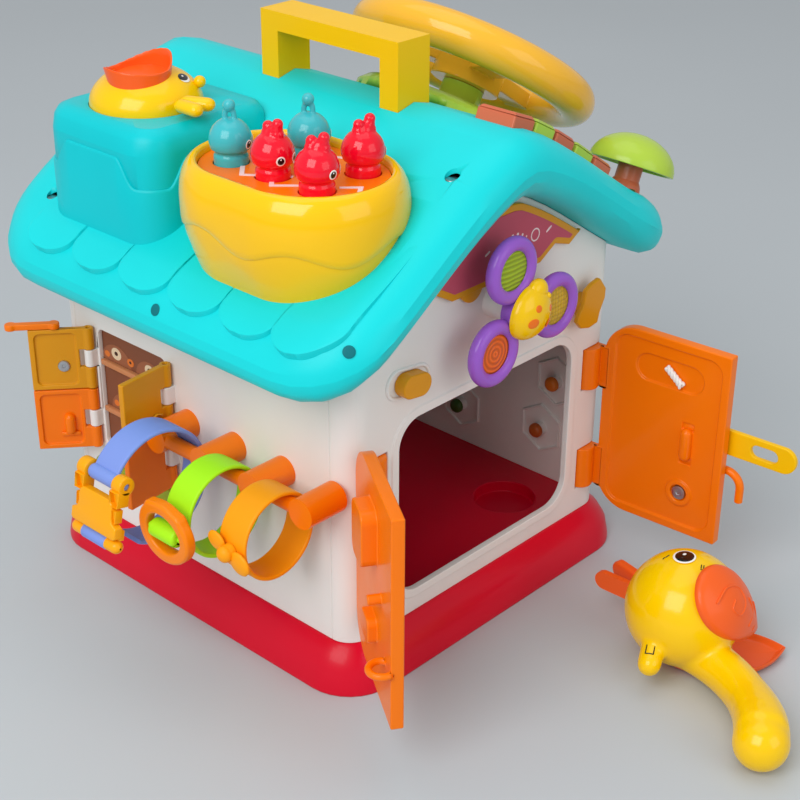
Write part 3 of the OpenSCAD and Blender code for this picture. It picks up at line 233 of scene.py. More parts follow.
placeCamera()
lightStudio()
print("camera and studio set")


# shaping helpers, all on bmesh operators
def cosSin(turn):
    return math.cos(math.radians(turn)), math.sin(math.radians(turn))


def turnTo(out):
    return out.to_track_quat("Z", "Y").to_matrix().to_4x4()


def mirrored(points):
    return list(points) + [(-u, v) for u, v in reversed(points)]


def madeVerts(made):
    return {g for g in made["geom"] if isinstance(g, bmesh.types.BMVert)}


def roundOver(bm, edges, width, steps=2, clamp=True):
    bmesh.ops.bevel(bm, geom=edges, offset=width * mm, offset_type="OFFSET", segments=steps, profile=0.5,
                    affect="EDGES", material=-1, clamp_overlap=clamp)


def finishPiece(name, bm, paint, body, node=None, crease=50, outward=True):
    if outward:
        bmesh.ops.recalc_face_normals(bm, faces=bm.faces)
    mesh = bpy.data.meshes.new(name)
    bm.to_mesh(mesh)
    bm.free()
    mesh.shade_smooth()
    mesh.set_sharp_from_angle(angle=math.radians(crease))
    piece = bpy.data.objects.new(name, mesh)
    bpy.context.scene.collection.objects.link(piece)
    mesh.materials.append(paints[paint].material)
    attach(piece, body)
    if node:
        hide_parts(node)
    return piece


# a piece that stands for a CAD node takes its body, and the node is hidden
def dressNode(name, bm, paint, node, crease=50, outward=True):
    return finishPiece(name, bm, paint, bodyOf[node], node, crease, outward)


def mergedCopy(node, flat=0.4):
    bm = bmesh.new()
    bm.from_mesh(nodeOf[node].data)
    bmesh.ops.remove_doubles(bm, verts=bm.verts, dist=1e-5)
    bmesh.ops.dissolve_limit(bm, angle_limit=math.radians(flat), verts=bm.verts, edges=bm.edges)
    return bm


# a moulding whose solid is right: a merged copy with its edges rounded
def softened(node, paint, width, crease=38, slack=2e-4):
    bm = mergedCopy(node)
    if width:
        sharp = [e for e in bm.edges
                 if len(e.link_faces) == 2 and e.calc_face_angle(0) > math.radians(crease)]
        if sharp:
            roundOver(bm, sharp, width, clamp=False)
        low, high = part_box(node)
        if any(v.co[i] < low[i] - slack or v.co[i] > high[i] + slack for v in bm.verts for i in range(3)):
            bm.free()  # an edge too short for its rounding: keep the plain copy
            bm = mergedCopy(node)
            print("plain edges kept on", node)
    piece = dressNode(node + "_moulding", bm, paint, node, crease, False)
    if width:
        piece.modifiers.new("faceNormals", "WEIGHTED_NORMAL").keep_sharp = True


# edge rounding of each moulding in millimetres, by paint
mouldings = dict(
    red=dict(base_tray=0.7, base_cover=0.4),
    white=dict(wall_front=0.5, wall_rear=0.5, wall_left=0.5, wall_right=0.5),
    turquoise=dict(roof_lower=0, roof_upper=0, battery_cover=0.5),
    tower=dict(duck_tower=0),
    steel=dict(case_screws=0.3, hinge_pins=0.2, peg_springs=0),
    yellow=dict(carry_handle=1.8, hasp=0.5),
    orange=dict(game_deck=0.3, strap_rail=1.0, door_left=0.8, door_right=0.8, hook_latch=0.4,
                shutter_2=0.6, shutter_4=0.6, shutter_bolt=0.7),
    mustard=dict(sign_plate=0.6, gable_hooks=0.8, shutter_1=0.6, shutter_3=0.6),
    brown=dict(shelf_panel=0.3), olive=dict(bush_trim=0.8),
    lime=dict(dashboard=0.6, key_2=1.0, key_4=1.0, gear_knob=0.5),
    board=dict(circuit_board=0.2), soot=dict(speaker=0.4, battery_pack=0.8),
    wheel=dict(steering_wheel=0.8),
    coral=dict(key_1=1.0, key_3=1.0, key_5=1.0, gear_lever=0.4), purple=dict(spinner_frame=0.3),
)
for paint, nodes in mouldings.items():
    for node, width in nodes.items():
        softened(node, paint, width)
print("mouldings rounded:", sum(len(nodes) for nodes in mouldings.values()))


# rings of vertices pulled along rows: place(turn, row) gives each vertex
def sweepRings(bm, count, place, rows, capFirst=False, capLast=False, join=False):
    turn = bm.verts.layers.float.get("turn") or bm.verts.layers.float.new("turn")
    rows = list(rows)
    ring = bmesh.ops.create_circle(bm, segments=count, radius=1)["verts"]
    for i, v in enumerate(ring):
        v[turn] = i / count
        v.co = place(i / count, rows[0])
    first = edges = list({e for v in ring for e in v.link_edges})
    for row in rows[1:]:
        made = bmesh.ops.extrude_edge_only(bm, edges=edges)
        ring = madeVerts(made)
        edges = [g for g in made["geom"]
                 if isinstance(g, bmesh.types.BMEdge) and all(v in ring for v in g.verts)]
        for v in ring:
            v.co = place(v[turn], row)
    if capFirst:
        bmesh.ops.edgeloop_fill(bm, edges=first)
    if capLast:
        bmesh.ops.edgeloop_fill(bm, edges=edges)
    if join:
        bmesh.ops.bridge_loops(bm, edges=first + edges)


def tubeAlong(bm, path, radius, sides=14, closed=False):
    points = [Vector(p) * mm for p in path]
    last = len(points) - 1
    frames, side = [], None
    for i, p in enumerate(points):
        back, ahead = (i - 1, (i + 1) % (last + 1)) if closed else (max(i - 1, 0), min(i + 1, last))
        along = (points[ahead] - points[back]).normalized()
        side = along.orthogonal() if side is None else side - along * side.dot(along)
        side.normalize()
        frames.append((p, side, along.cross(side)))

    def spot(turn, row):
        p, a, b = frames[row]
        size = radius[row] if isinstance(radius, list) else radius
        angle = 2 * math.pi * turn
        return p + (a * math.cos(angle) + b * math.sin(angle)) * size * mm

    sweepRings(bm, sides, spot, range(last + 1), not closed, not closed, closed)


def roundTube(bm, path, radius, sides=14):
    # ends rounded over by shrinking rings that run out past the path
    points = [Vector(p) for p in path]
    start = (points[0] - points[1]).normalized()
    end = (points[-1] - points[-2]).normalized()
    bends = [cosSin(a) for a in (80, 60, 40, 20)]
    head = [points[0] + start * radius * s for c, s in bends]
    tail = [points[-1] + end * radius * s for c, s in reversed(bends)]
    sizes = [radius * c for c, s in bends]
    tubeAlong(bm, head + points + tail, sizes + [radius] * len(points) + sizes[::-1], sides)


def smoothPath(points, fine):
    # a smooth run through the points
    pts = [Vector(p) for p in points]
    pts = [pts[0] * 2 - pts[1]] + pts + [pts[-1] * 2 - pts[-2]]
    out = []
    for a, b, c, d in zip(pts, pts[1:], pts[2:], pts[3:]):
        for step in range(fine):
            t = step / fine
            out.append(0.5 * (2 * b + (c - a) * t + (2 * a - 5 * b + 4 * c - d) * t * t
                              + (3 * b - a - 3 * c + d) * t ** 3))
    return out + [pts[-2]]


def shapedTube(bm, rows, sides):
    # rows of a point and the tube's radius there
    tubeAlong(bm, [p for p, r in rows], [r for p, r in rows], sides)


def ball(bm, at, size, out=None, smooth=28):
    # out is the way its short axis looks, or a whole turn
    size = Vector((size, size, size)) if isinstance(size, (int, float)) else Vector(size)
    turn = out if isinstance(out, Matrix) else turnTo(out) if out else Matrix()
    place = Matrix.Translation(Vector(at) * mm) @ turn @ Matrix.Diagonal((*(size * mm), 1))
    bmesh.ops.create_uvsphere(bm, u_segments=smooth, v_segments=smooth // 2, radius=1, matrix=place)


def plate(bm, outline, rise, edge=0.3, steps=2):
    face = bm.faces.new([bm.verts.new(Vector(p) * mm) for p in outline])
    top = madeVerts(bmesh.ops.extrude_face_region(bm, geom=[face]))
    bmesh.ops.translate(bm, verts=list(top), vec=Vector(rise) * mm)
    if edge:
        rim = [e for e in bm.edges if e.verts[0] in top and e.verts[1] in top]
        roundOver(bm, rim, edge, steps, clamp=False)


def spun(bm, profile, at=(0, 0, 0), steps=48, tilt=None):
    # (radius, height) pairs turned about an upright axis, then tilted and placed; done vertices are tagged
    verts = [bm.verts.new((r * mm, 0, z * mm)) for r, z in profile]
    edges = [bm.edges.new(pair) for pair in zip(verts, verts[1:])]
    bmesh.ops.spin(bm, geom=verts + edges, cent=(0, 0, 0), axis=(0, 0, 1), angle=2 * math.pi,
                   steps=steps, use_merge=True, use_duplicate=False)
    bmesh.ops.remove_doubles(bm, verts=[v for v in bm.verts if not v.tag], dist=2e-6)
    place = Matrix.Translation(Vector(at) * mm) @ (tilt or Matrix())
    bmesh.ops.transform(bm, matrix=place, verts=[v for v in bm.verts if not v.tag])
    for v in bm.verts:
        v.tag = True


# a small frame on a carrier: millimetres across, up and out from a point
def seat(at, across, up):
    across, up = Vector(across).normalized(), Vector(up).normalized()
    out = across.cross(up)
    return lambda u, v, w=0.0: Vector(at) + across * u + up * v + out * w


def sinkFace(bm, face, margins, drop):
    for margin in margins:
        bmesh.ops.inset_individual(bm, faces=[face], thickness=margin * mm)
    bmesh.ops.translate(bm, verts=list(face.verts), vec=drop * mm)


def nearestFace(faces, spot):
    return min(faces, key=lambda f: (f.calc_center_median() - spot * mm).length)


def block(bm, spot, low, high, edge=0.5, steps=2, pocket=None):
    made = bmesh.ops.create_cube(bm, size=1)["verts"]
    for v in made:
        v.co = spot(*[l if c < 0 else h for c, l, h in zip(v.co, low, high)]) * mm
    edges = list({e for v in made for e in v.link_edges})
    if pocket:  # a sunk square in the outer face
        margin, deep = pocket
        middle = spot((low[0] + high[0]) / 2, (low[1] + high[1]) / 2, high[2])
        face = nearestFace({f for v in made for f in v.link_faces}, middle)
        sinkFace(bm, face, (margin, 0.15), spot(0, 0, 0) - spot(0, 0, deep))
    roundOver(bm, edges, edge, steps)


def ease(low, high, value):
    t = min(1, max(0, (value - low) / (high - low)))
    return t * t * (3 - 2 * t)


def oneSkin(piece, fine, calm):
    # overlapping shapes become one moulded skin
    skin = piece.modifiers.new("oneSkin", "REMESH")
    skin.mode = "VOXEL"
    skin.voxel_size = fine * mm
    skin.use_smooth_shade = True
    blend = piece.modifiers.new("blend", "SMOOTH")
    blend.factor, blend.iterations = 0.5, calm


def boxRing(turn, halfX, halfY, corner):
    # a point on a rectangle with round corners
    straightX, straightY = 2 * (halfX - corner), 2 * (halfY - corner)
    arc = math.pi / 2 * corner
    s = turn * (2 * straightX + 2 * straightY + 4 * arc)
    for k, length in enumerate((straightY, straightX, straightY, straightX)):
        normal = Vector((math.cos(k * math.pi / 2), math.sin(k * math.pi / 2), 0))
        along = Vector((-normal.y, normal.x, 0))
        reach = (halfX, halfY)[k % 2]
        if s <= length:
            return normal * reach + along * (s - length / 2)
        s -= length
        if s <= arc:
            a = k * math.pi / 2 + s / corner
            centre = normal * (reach - corner) + along * (length / 2)
            return centre + Vector((math.cos(a), math.sin(a), 0)) * corner
        s -= arc
    return boxRing(0, halfX, halfY, corner)


# roof surface, repeated from the part's values in millimetres
roof = dict(width=278, length=274, middle=6, eave=183, rise=76, up=17, edge=20, front=40, rear=48)


def partingZ(x):
    t = min(1, abs(x) * 2 / roof["width"])
    return roof["eave"] + roof["rise"] * (0.2 * (1 + math.cos(math.pi * t)) + 0.6 * (1.05 - math.hypot(t, 0.05)))


def edgeShare(depth):
    return 1 if depth >= roof["edge"] else math.sqrt(max(0, 1 - (1 - max(depth, 0) / roof["edge"]) ** 2))


def eaveX(y):
    corner = roof["front"] if y < roof["middle"] else roof["rear"]
    past = max(0, abs(y - roof["middle"]) - (roof["length"] / 2 - corner))
    return -(roof["width"] / 2 - corner + math.sqrt(max(0, corner ** 2 - past ** 2)))


def roofTop(x, y):
    inY = roof["length"] / 2 - abs(y - roof["middle"])
    return partingZ(x) + roof["up"] * edgeShare(-eaveX(y) - abs(x)) * edgeShare(inY)


# six scalloped shingles on the strap side: flat tongues that leave the rounded eave and fade up the slope
shingles = dict(middles=(84, 46, 9, -28.5, -65.5, -101), half=18.0, inset=4.2, run=54, nose=8.5, bow=2.3,
                rise=1.9, share=0.45, root=0.6, soft=0.4, flat=26, base=6, fade=40, dip=0.25, bunch=2.4)


def tongueTop(x, y):
    # the slope carried on in a straight line over the eave's rounding
    flat, base = eaveX(y) + shingles["flat"], shingles["base"]
    slope = (roofTop(flat + base, y) - roofTop(flat, y)) / base
    drop = max(0, roofTop(flat, y) + slope * (x - flat) - roofTop(x, y)) if x < flat else 0
    return Vector((-slope, 0, 1)).normalized(), shingles["rise"] + shingles["share"] * drop


def makeShingle(k, middle):
    bm = bmesh.new()
    bmesh.ops.create_grid(bm, x_segments=40, y_segments=20, size=1)
    for v in bm.verts:
        out = 0.1 + shingles["run"] * ((v.co.x + 1) / 2) ** shingles["bunch"]
        half = shingles["half"] * math.sqrt(1 - max(0, 1 - out / shingles["nose"]) ** shingles["bow"])
        y = middle + v.co.y * half
        x = eaveX(y) + shingles["inset"] + out
        v.co = Vector((x, y, roofTop(x, y))) * mm
    rim = [e for e in bm.edges if e.is_boundary]
    low = madeVerts(bmesh.ops.extrude_edge_only(bm, edges=rim))
    for v in bm.verts:
        x, y = v.co.x / mm, v.co.y / mm
        run = shingles["run"]
        fade = 1 - ease(run - shingles["fade"], run, x - eaveX(y) - shingles["inset"])
        normal, rise = tongueTop(x, y)
        v.co += normal * (-shingles["root"] if v in low else rise * fade - shingles["dip"] * (1 - fade)) * mm
    roundOver(bm, rim, shingles["soft"])
    finishPiece(f"shingle_{k}", bm, "turquoise", "house", crease=60)


# screw wells by the eave: dark oval lenses laid just proud of the slope, painted shade in place of the hollows
wells = dict(size=(3.0, 3.0, 0.4), proud=0.15, at=((-136.7, -8.3), (-118.9, -122)))


def makeWells():
    bm = bmesh.new()
    for x, y in wells["at"]:
        normal = Vector((roofTop(x - 1, y) - roofTop(x + 1, y), roofTop(x, y - 1) - roofTop(x, y + 1), 2))
        ball(bm, (x, y, roofTop(x, y) + wells["proud"]), wells["size"], normal.normalized(), 32)
    finishPiece("roof_well_shade", bm, "paintedWellShade", "house", crease=60)


# wavy skirt round the tower: high on the faces, low at the corners
# rows hold the inset and the height against the wavy top; the first ends in the roof
skirt = dict(middle=(-74, 57.5), half=(45.1, 44.6), corner=19, low=241.5, high=255.5, sink=1.5, wave=(19, 32),
             rows=((0, -99), (0, -1.4), (0.35, -0.5), (0.9, 0), (1.3, -0.1)), face=4, aside=60)


def makeSkirt():
    bm = bmesh.new()
    halfX, halfY = skirt["half"]

    def spot(turn, row):
        inset, rise = row
        p = boxRing(turn, halfX - inset, halfY - inset, skirt["corner"] - inset)
        offX, offY = abs(p.x), abs(p.y)
        off = offY if offX > halfX - skirt["face"] else offX if offY > halfY - skirt["face"] else skirt["aside"]
        top = skirt["low"] + (skirt["high"] - skirt["low"]) * (1 - ease(*skirt["wave"], off))
        x, y = skirt["middle"][0] + p.x, skirt["middle"][1] + p.y
        return Vector((x, y, max(top + rise, roofTop(x, y) - skirt["sink"]))) * mm

    sweepRings(bm, 220, spot, skirt["rows"])
    finishPiece("tower_skirt", bm, "tower", "house")


for k, middle in enumerate(shingles["middles"], 1):
    makeShingle(k, middle)
makeWells()
makeSkirt()
print("roof and tower dressed")


# the game's housing: a glazed loaf; rows hold radius, height and share of the icing's waves
loaf = dict(middle=(-83, -51), half=14, mean=42, icing=((3.4, 6, 0.4), (0.9, 2, 1)),
            rows=((30, 193, 0), (36, 210, 0), (40.2, 222, 0.25), (42.8, 231.5, 0.8), (43.4, 235.4, 1),
                  (43.5, 237.0, 1), (44.1, 236.8, 1), (44.6, 237.6, 1), (45.0, 240.4, 0.9), (45.2, 245, 0.5),
                  (45.2, 250, 0.15), (44.7, 255, 0), (43.5, 259.6, 0), (41.8, 263, 0), (39.9, 265.1, 0),
                  (38.2, 265.9, 0), (36.8, 265.6, 0), (36.1, 264.4, 0), (35.9, 261.5, 0)))


def loafRing(turn, radius):
    if turn >= 0.5:
        return -loafRing(turn - 0.5, radius)
    half, mean = loaf["half"], loaf["mean"]
    s = turn * (2 * math.pi * mean + 4 * half)
    if s <= 2 * half:
        return Vector((radius, s - half, 0))
    a = (s - 2 * half) / mean
    return Vector((radius * math.cos(a), half + radius * math.sin(a), 0))


def makeLoaf():
    bm = bmesh.new()

    def spot(turn, row):
        radius, z, wave = row
        lift = sum(rise * math.cos(2 * math.pi * turn * count + start) for rise, count, start in loaf["icing"])
        return (Vector((*loaf["middle"], z + wave * lift)) + loafRing(turn, radius)) * mm

    sweepRings(bm, 240, spot, loaf["rows"])
    dressNode("game_loaf", bm, "glaze", "game_housing", 55)


# pegs: a cup, a neck and a round head; teal ones carry a feeler, red ones a comb; faces look to the gable
pegs = dict(teal=("peg_1", "peg_4"), deck=262, head=11.2, radius=10.4, eye=(-5, 25, 2.3),
            places=dict(peg_1=(-96, -22), peg_2=(-96, -51), peg_3=(-96, -80), peg_4=(-64, -42), peg_5=(-64, -78)),
            look=dict(peg_1=-52, peg_2=-87, peg_3=-65, peg_4=-60, peg_5=-15),
            profile=((0, -5.4), (8.3, -5.4), (8.4, 0.5), (8.45, 3.2), (8.2, 4.2), (7.6, 4.9), (7.5, 5.4),
                     (7.9, 6.1), (8.8, 6.6)),
            crest=((-2, -1.2, 3.6), (1, -1, 4.0), (3.2, -1, 3.4), (-2.3, 2.0, 2.7), (3.2, 2.0, 2.9),
                   (3.7, 4.0, 2.7)),
            feeler=((-2.1, -2), (-2.2, 1.2), (-1.4, 3.9), (0, 4.7), (1.4, 3.9), (2.2, 1.2), (2.1, -2)),
            wire=1.35, bead=(6.0, 3.0), skin=(0.5, 4))


def makePeg(name):
    centre = Vector((*pegs["places"][name], pegs["deck"] + pegs["head"]))
    head, size = pegs["head"], pegs["radius"]
    paint = "teal" if name in pegs["teal"] else "scarlet"
    bm = bmesh.new()
    arc = [(size * c, head + size * s) for c, s in map(cosSin, range(-24, 90, 6))]
    spun(bm, [*pegs["profile"], *arc, (0, head + size)], at=(centre.x, centre.y, pegs["deck"]))
    top, lift = centre + Vector((0, 0, size)), Vector((0, 0, 1))
    ahead = Vector((*cosSin(pegs["look"][name]), 0))
    if paint == "teal":
        feeler = [top + ahead * d + lift * h for d, h in pegs["feeler"]]
        roundTube(bm, smoothPath(feeler, 4), pegs["wire"], 12)
        ball(bm, top + lift * pegs["bead"][0], pegs["bead"][1])
    else:
        for d, h, r in pegs["crest"]:
            ball(bm, top + ahead * d + lift * h, r)
    oneSkin(dressNode(name + "_figure", bm, paint, name, 45, False), *pegs["skin"])
    pegEyes(name, centre)


# thin lenses that make an eye: part, paint, share of its size, bulge and shift up; the glint lens is a painted
# highlight
lenses = (("eyeWhites", "bright", 1, 0.28, 0), ("pupils", "black", 0.82, 0.42, 0),
          ("paintedGlints", "bright", 0.24, 0.5, 0.35))


def pegEyes(name, centre):
    raised, spread, size = pegs["eye"]
    for part, paint, share, bulge, shift in lenses:
        bm = bmesh.new()
        for side in (-1, 1):
            c, s = cosSin(pegs["look"][name] + side * spread)
            flat, rise = cosSin(raised)
            out = Vector((c * flat, s * flat, rise)).normalized()
            up = (Vector((0, 0, 1)) - out * out.z).normalized()
            at = centre + out * pegs["radius"] + up * size * shift
            ball(bm, at, (size * share, size * share, bulge), out, 24)
        finishPiece(f"{name}_{part}", bm, paint, name)


makeLoaf()
for name in pegs["places"]:
    makePeg(name)
print("game housing and pegs shaped")


# strap loops: flat moulded bands that hang on the rail; loops hold place, inner radius and lean
straps = dict(rail=(-124, 112), hang=4.3, width=18, thick=2.2, corner=1.0,
              loops=dict(strap_rear=(-7, 29, 203), strap_middle=(-43, 22.5, 232), strap_front=(-79, 21, 237)),
              open=(-121, 152), barAt=30.1, roll=(7.2, 4.0), ringAt=(183, 30.7), toggleAt=(182, 23.2),
              axle=(15.8, 13.5, 1.8), tongue=((-6, -2.5, -6.8), (6, 2.5, 0)), stud=((-1.4, 2, 5), 2.0),
              roller=((-9.4, 3.0), (-9.1, 4.1), (-8.5, 4.8), (-7.4, 5.0)))


def loopSpot(name, turn, radius, y=0.0):
    middle, size, tilt = straps["loops"][name]
    (c, s), (tiltC, tiltS) = cosSin(turn), cosSin(tilt)
    hang = size - straps["hang"]
    return Vector((straps["rail"][0] + hang * tiltC + radius * c, middle + y,
                   straps["rail"][1] + hang * tiltS + radius * s))


def loopSeat(name, turn, radius):
    # seen from outside: across to the gable, up along the band, out from the loop
    c, s = cosSin(turn)
    return seat(loopSpot(name, turn, radius), (0, -1, 0), (s, 0, -c))


def layBand(bm, name, first, last, steps):
    size = straps["loops"][name][1] + straps["thick"] / 2
    whole = last - first >= 360
    rows = [first + (last - first) * k / steps for k in range(steps if whole else steps + 1)]

    def spot(turn, row):
        p = boxRing(turn, straps["thick"] / 2, straps["width"] / 2, straps["corner"])
        return loopSpot(name, row, size + p.x, p.y) * mm

    sweepRings(bm, 64, spot, rows, not whole, not whole, whole)


def crossBar(spot, half):
    return [spot(u, 0) for u in (-half, 0, half)]


def makeStraps():
    rearAxle, middleAxle, thin = straps["axle"]
    bm = bmesh.new()
    layBand(bm, "strap_rear", *straps["open"], 72)
    bar = loopSeat("strap_rear", straps["open"][1], straps["barAt"])
    half, size = straps["roll"]
    roundTube(bm, crossBar(bar, half), size, 28)
    tubeAlong(bm, crossBar(bar, rearAxle), thin, 16)
    dressNode("strap_rear_band", bm, "blueStrap", "strap_rear")

    bm = bmesh.new()
    layBand(bm, "strap_middle", 0, 360, 80)
    bar = loopSeat("strap_middle", *straps["ringAt"])
    block(bm, bar, *straps["tongue"], 0.6)
    shapedTube(bm, [(bar(u, 0), r) for u, r in mirrored(straps["roller"])], 28)
    tubeAlong(bm, crossBar(bar, middleAxle), thin, 16)
    dressNode("strap_middle_band", bm, "limeStrap", "strap_middle")

    bm = bmesh.new()
    layBand(bm, "strap_front", 0, 360, 84)
    stud = loopSeat("strap_front", *straps["toggleAt"])
    heights, size = straps["stud"]
    tubeAlong(bm, [stud(0, 0, w) for w in heights], size, 20)
    dressNode("strap_front_band", bm, "orangeStrap", "strap_front")


# clasp on the rear strap: two lugs with windows, a stepped plate and a lower bar in a blue sleeve
clasp = dict(lean=-12.5, lug=13.5, lugHalf=3.5, lugRound=5.0, bore=1.9, bar=(-32, 1.0, 3.5), barHalf=17.3,
             front=(0.6, 5.0), window=(-10.6, -2.3, -2.2, (1.6, 2.2)), step=(-19.5, -12.4, -0.6, (0.9, 1.0)),
             stepAt=(12.0, 15.4), foot=(-28.6, -23, -2.0), footIn=0.6, barIn=2.5,
             plate=((10.2, -8.2), (12.8, -10.4), (12.8, -17.2), (13.6, -19.6), (17.3, -21.4), (17.3, -26.6),
                    (15.6, -27.8)),
             sleeve=((-9.2, 2.95), (-9.05, 3.5), (-8.6, 3.85), (0, 3.85), (8.6, 3.85), (9.05, 3.5), (9.2, 2.95)))


def makeClasp():
    c, s = cosSin(clasp["lean"])
    top = loopSpot("strap_rear", straps["open"][1], straps["barAt"])
    spot = seat(top, (0, -1, 0), (-s, 0, c))
    r, h, bore = clasp["lugRound"], clasp["lugHalf"], clasp["bore"]
    back, front = clasp["front"]
    flank = ((bore, h), (r - 1, h), (r - 0.3, h - 0.3), (r, h - 1))
    profile = [(u, -v) for u, v in flank] + list(reversed(flank)) + [(bore, -h)]
    bm = bmesh.new()
    for side in (-1, 1):
        spun(bm, profile, spot(side * clasp["lug"], 0), 40, Matrix.Rotation(math.pi / 2, 4, "X"))
    for side in (-1, 1):
        low, high, deep, pocket = clasp["window"]
        inner, outer = sorted((side * (clasp["lug"] - h), side * (clasp["lug"] + h)))
        block(bm, spot, (inner, low, deep), (outer, high, front), 0.6, 2, pocket)
        low, high, deep, pocket = clasp["step"]
        inner, outer = sorted(side * u for u in clasp["stepAt"])
        block(bm, spot, (inner, low, deep), (outer, high, front - 0.8), 0.5, 2, pocket)
    outline = [spot(u, v, back) for u, v in mirrored(clasp["plate"])]
    plate(bm, outline, spot(0, 0, front) - spot(0, 0, back), 0.9, 3)
    v, w, size = clasp["bar"]
    half = clasp["barHalf"] - clasp["barIn"]
    roundTube(bm, [spot(u, v, w) for u in (-half, 0, half)], size, 28)
    half = clasp["barHalf"] - clasp["footIn"]
    low, high, deep = clasp["foot"]
    block(bm, spot, (-half, low, deep), (half, high, back + 0.5), 0.5)
    dressNode("buckle_clasp", bm, "amber", "buckle", 40)
    bm = bmesh.new()
    shapedTube(bm, [(spot(u, v, w), r) for u, r in clasp["sleeve"]], 32)
    finishPiece("buckle_sleeve", bm, "blueStrap", "buckle")


# ring on the middle strap: an egg on its side with two low ears
pullRing = dict(hole=(12.0, 10.6), band=6.2, half=3.25, ears=((124, 1.1), (50, 1.1)), earWide=70,
                soft=1.7, egg=0.06)


def makePullRing():
    spot = loopSeat("strap_middle", *straps["ringAt"])
    bm = bmesh.new()

    def place(turn, row):
        c, s = cosSin(row)
        ear = sum(rise * math.exp(-((row - at + 180) % 360 - 180) ** 2 / pullRing["earWide"])
                  for at, rise in pullRing["ears"])
        wide = (pullRing["band"] + ear) / 2
        p = boxRing(turn, wide, pullRing["half"], pullRing["soft"])
        across, up = [(inner + wide + p.x) * f for inner, f in zip(pullRing["hole"], (c, s))]
        return spot(across, up * (1 - pullRing["egg"] * c), p.y) * mm

    sweepRings(bm, 40, place, range(0, 360, 3), join=True)
    dressNode("strap_ring_egg", bm, "ring", "strap_ring", 55)


# twist toggle: a round knob between two leaning petals
twist = dict(lean=-23, off=0.3, reach=8.5, petal=(6.5, 5.5, 1.9), petals=((-1, 0.9), (1, 1.05)),
             knob=(4.3, 4.3, 3.4), knobAt=4.2, petalAt=1.9,
             neck=((2.1, 0), (4.0, 0), (4.1, 0.6), (4.1, 4.4), (3.6, 5.6), (2.1, 5.8), (2.1, 0)))


def makeTwist():
    turn, radius = straps["toggleAt"]
    spot = loopSeat("strap_front", turn, radius + twist["off"])
    out = (spot(0, 0, 1) - spot(0, 0, 0)).normalized()
    along = spot(*cosSin(twist["lean"])) - spot(0, 0)
    across = out.cross(along)
    bm = bmesh.new()
    spun(bm, twist["neck"], spot(0, 0, 0), 36, turnTo(out))
    ball(bm, spot(0, 0, twist["knobAt"]), twist["knob"], out, 32)
    for side, grow in twist["petals"]:
        long, wide, thick = [s * grow for s in twist["petal"]]

        def place(turn, row, side=side, long=long, wide=wide, thick=thick):
            t = row / 7 - 1
            girth = math.sqrt(max(0.0004, 1 - t * t))
            angle = 2 * math.pi * turn
            middle = spot(0, 0, twist["petalAt"]) + along * side * (twist["reach"] + t * long)
            return (middle + across * wide * girth * math.cos(angle)
                    + out * thick * girth ** 0.7 * math.sin(angle)) * mm

        sweepRings(bm, 32, place, range(15), True, True)
    dressNode("toggle_petals", bm, "orangeStrap", "toggle")


makeStraps()
makeClasp()
makePullRing()
makeTwist()
print("straps, clasp, ring and toggle hung")


# spinner pads: soft discs with raised waves, dots or rings
spinner = dict(axle=(0, -121, 185), reach=26.5, out=4,
               pads=(("waves", 111, (162, 188, 22)), ("dots", -11, (226, 182, 34)), ("rings", 217, (240, 104, 18))),
               disc=((0, -1.2), (11.2, -1.2), (11.3, -0.9), (11.3, 0.8), (10.4, 1.1), (6, 1.5), (0, 1.6)))
gableSeat = seat(spinner["axle"], (1, 0, 0), (0, 0, 1))
gableOut = Vector((0, -1, 0))


def padFinish(kind, rgb, at):
    finish = Finish("pad" + kind.title())
    local = finish.node("ShaderNodeMapping", {"vector_type": "POINT"},
                        {"Vector": finish.place, "Location": [-c * mm for c in at]})
    if kind == "waves":
        reliefAndShade = finish.node("ShaderNodeTexWave", {"bands_direction": "Z"}, out=1, values={
            "Vector": local, "Scale": 125, "Distortion": 2.6, "Detail": 1, "Detail Scale": 0.7})
    elif kind == "dots":
        cells = finish.node("ShaderNodeTexVoronoi", None, {"Vector": local, "Scale": 420, "Randomness": 0.25})
        reliefAndShade = 1 - cells * 1.6
    else:
        reliefAndShade = finish.node("ShaderNodeTexWave", {"wave_type": "RINGS", "rings_direction": "Y"}, out=1, values={
            "Vector": local, "Scale": 120, "Distortion": 1.2, "Detail": 1})
    fine = finish.speckle(900, 3)
    # colour follows the relief: painted shade in its low parts, painted light on the raised parts
    shade = finish.mix(reliefAndShade, tint(*rgb, share=0.7), tint(*rgb, share=1.12))
    finish.surface(Base_Color=shade, Roughness=0.42 + fine * 0.16, Normal=finish.bump(reliefAndShade, 0.6, 0.0008))
    paints[kind] = finish


def makePads():
    node = "spinner_pads"
    for k, (kind, turn, rgb) in enumerate(spinner["pads"]):
        c, s = cosSin(turn)
        at = gableSeat(spinner["reach"] * c, spinner["reach"] * s, spinner["out"])
        padFinish(kind, rgb, at)
        bm = bmesh.new()
        spun(bm, spinner["disc"], at, 56, Matrix.Rotation(math.pi / 2, 4, "X"))
        finishPiece(f"spinner_pad_{kind}", bm, kind, bodyOf[node], None if k else node)


# chick on the hub: an egg-shaped dome, a crown lump, a nub and four orange ovals
chick = dict(base=8.05, body=(14.6, 14.0, 8.6), foot=0.06, lean=0.074, crown=0.08, spotDeep=0.32, spotSink=0.05,
             lump=((4.6, 11.4, 9.6), (6.6, 6.2, 4.4)), nub=((9.2, 8.2, 12.4), 1.9),
             spots=((-1.6, 5.4, 2.1, 2.0), (9.4, 2.4, 2.1, 2.0), (-5.4, -1.4, 3.4, 2.6), (7.6, -5.4, 3.2, 2.5)))


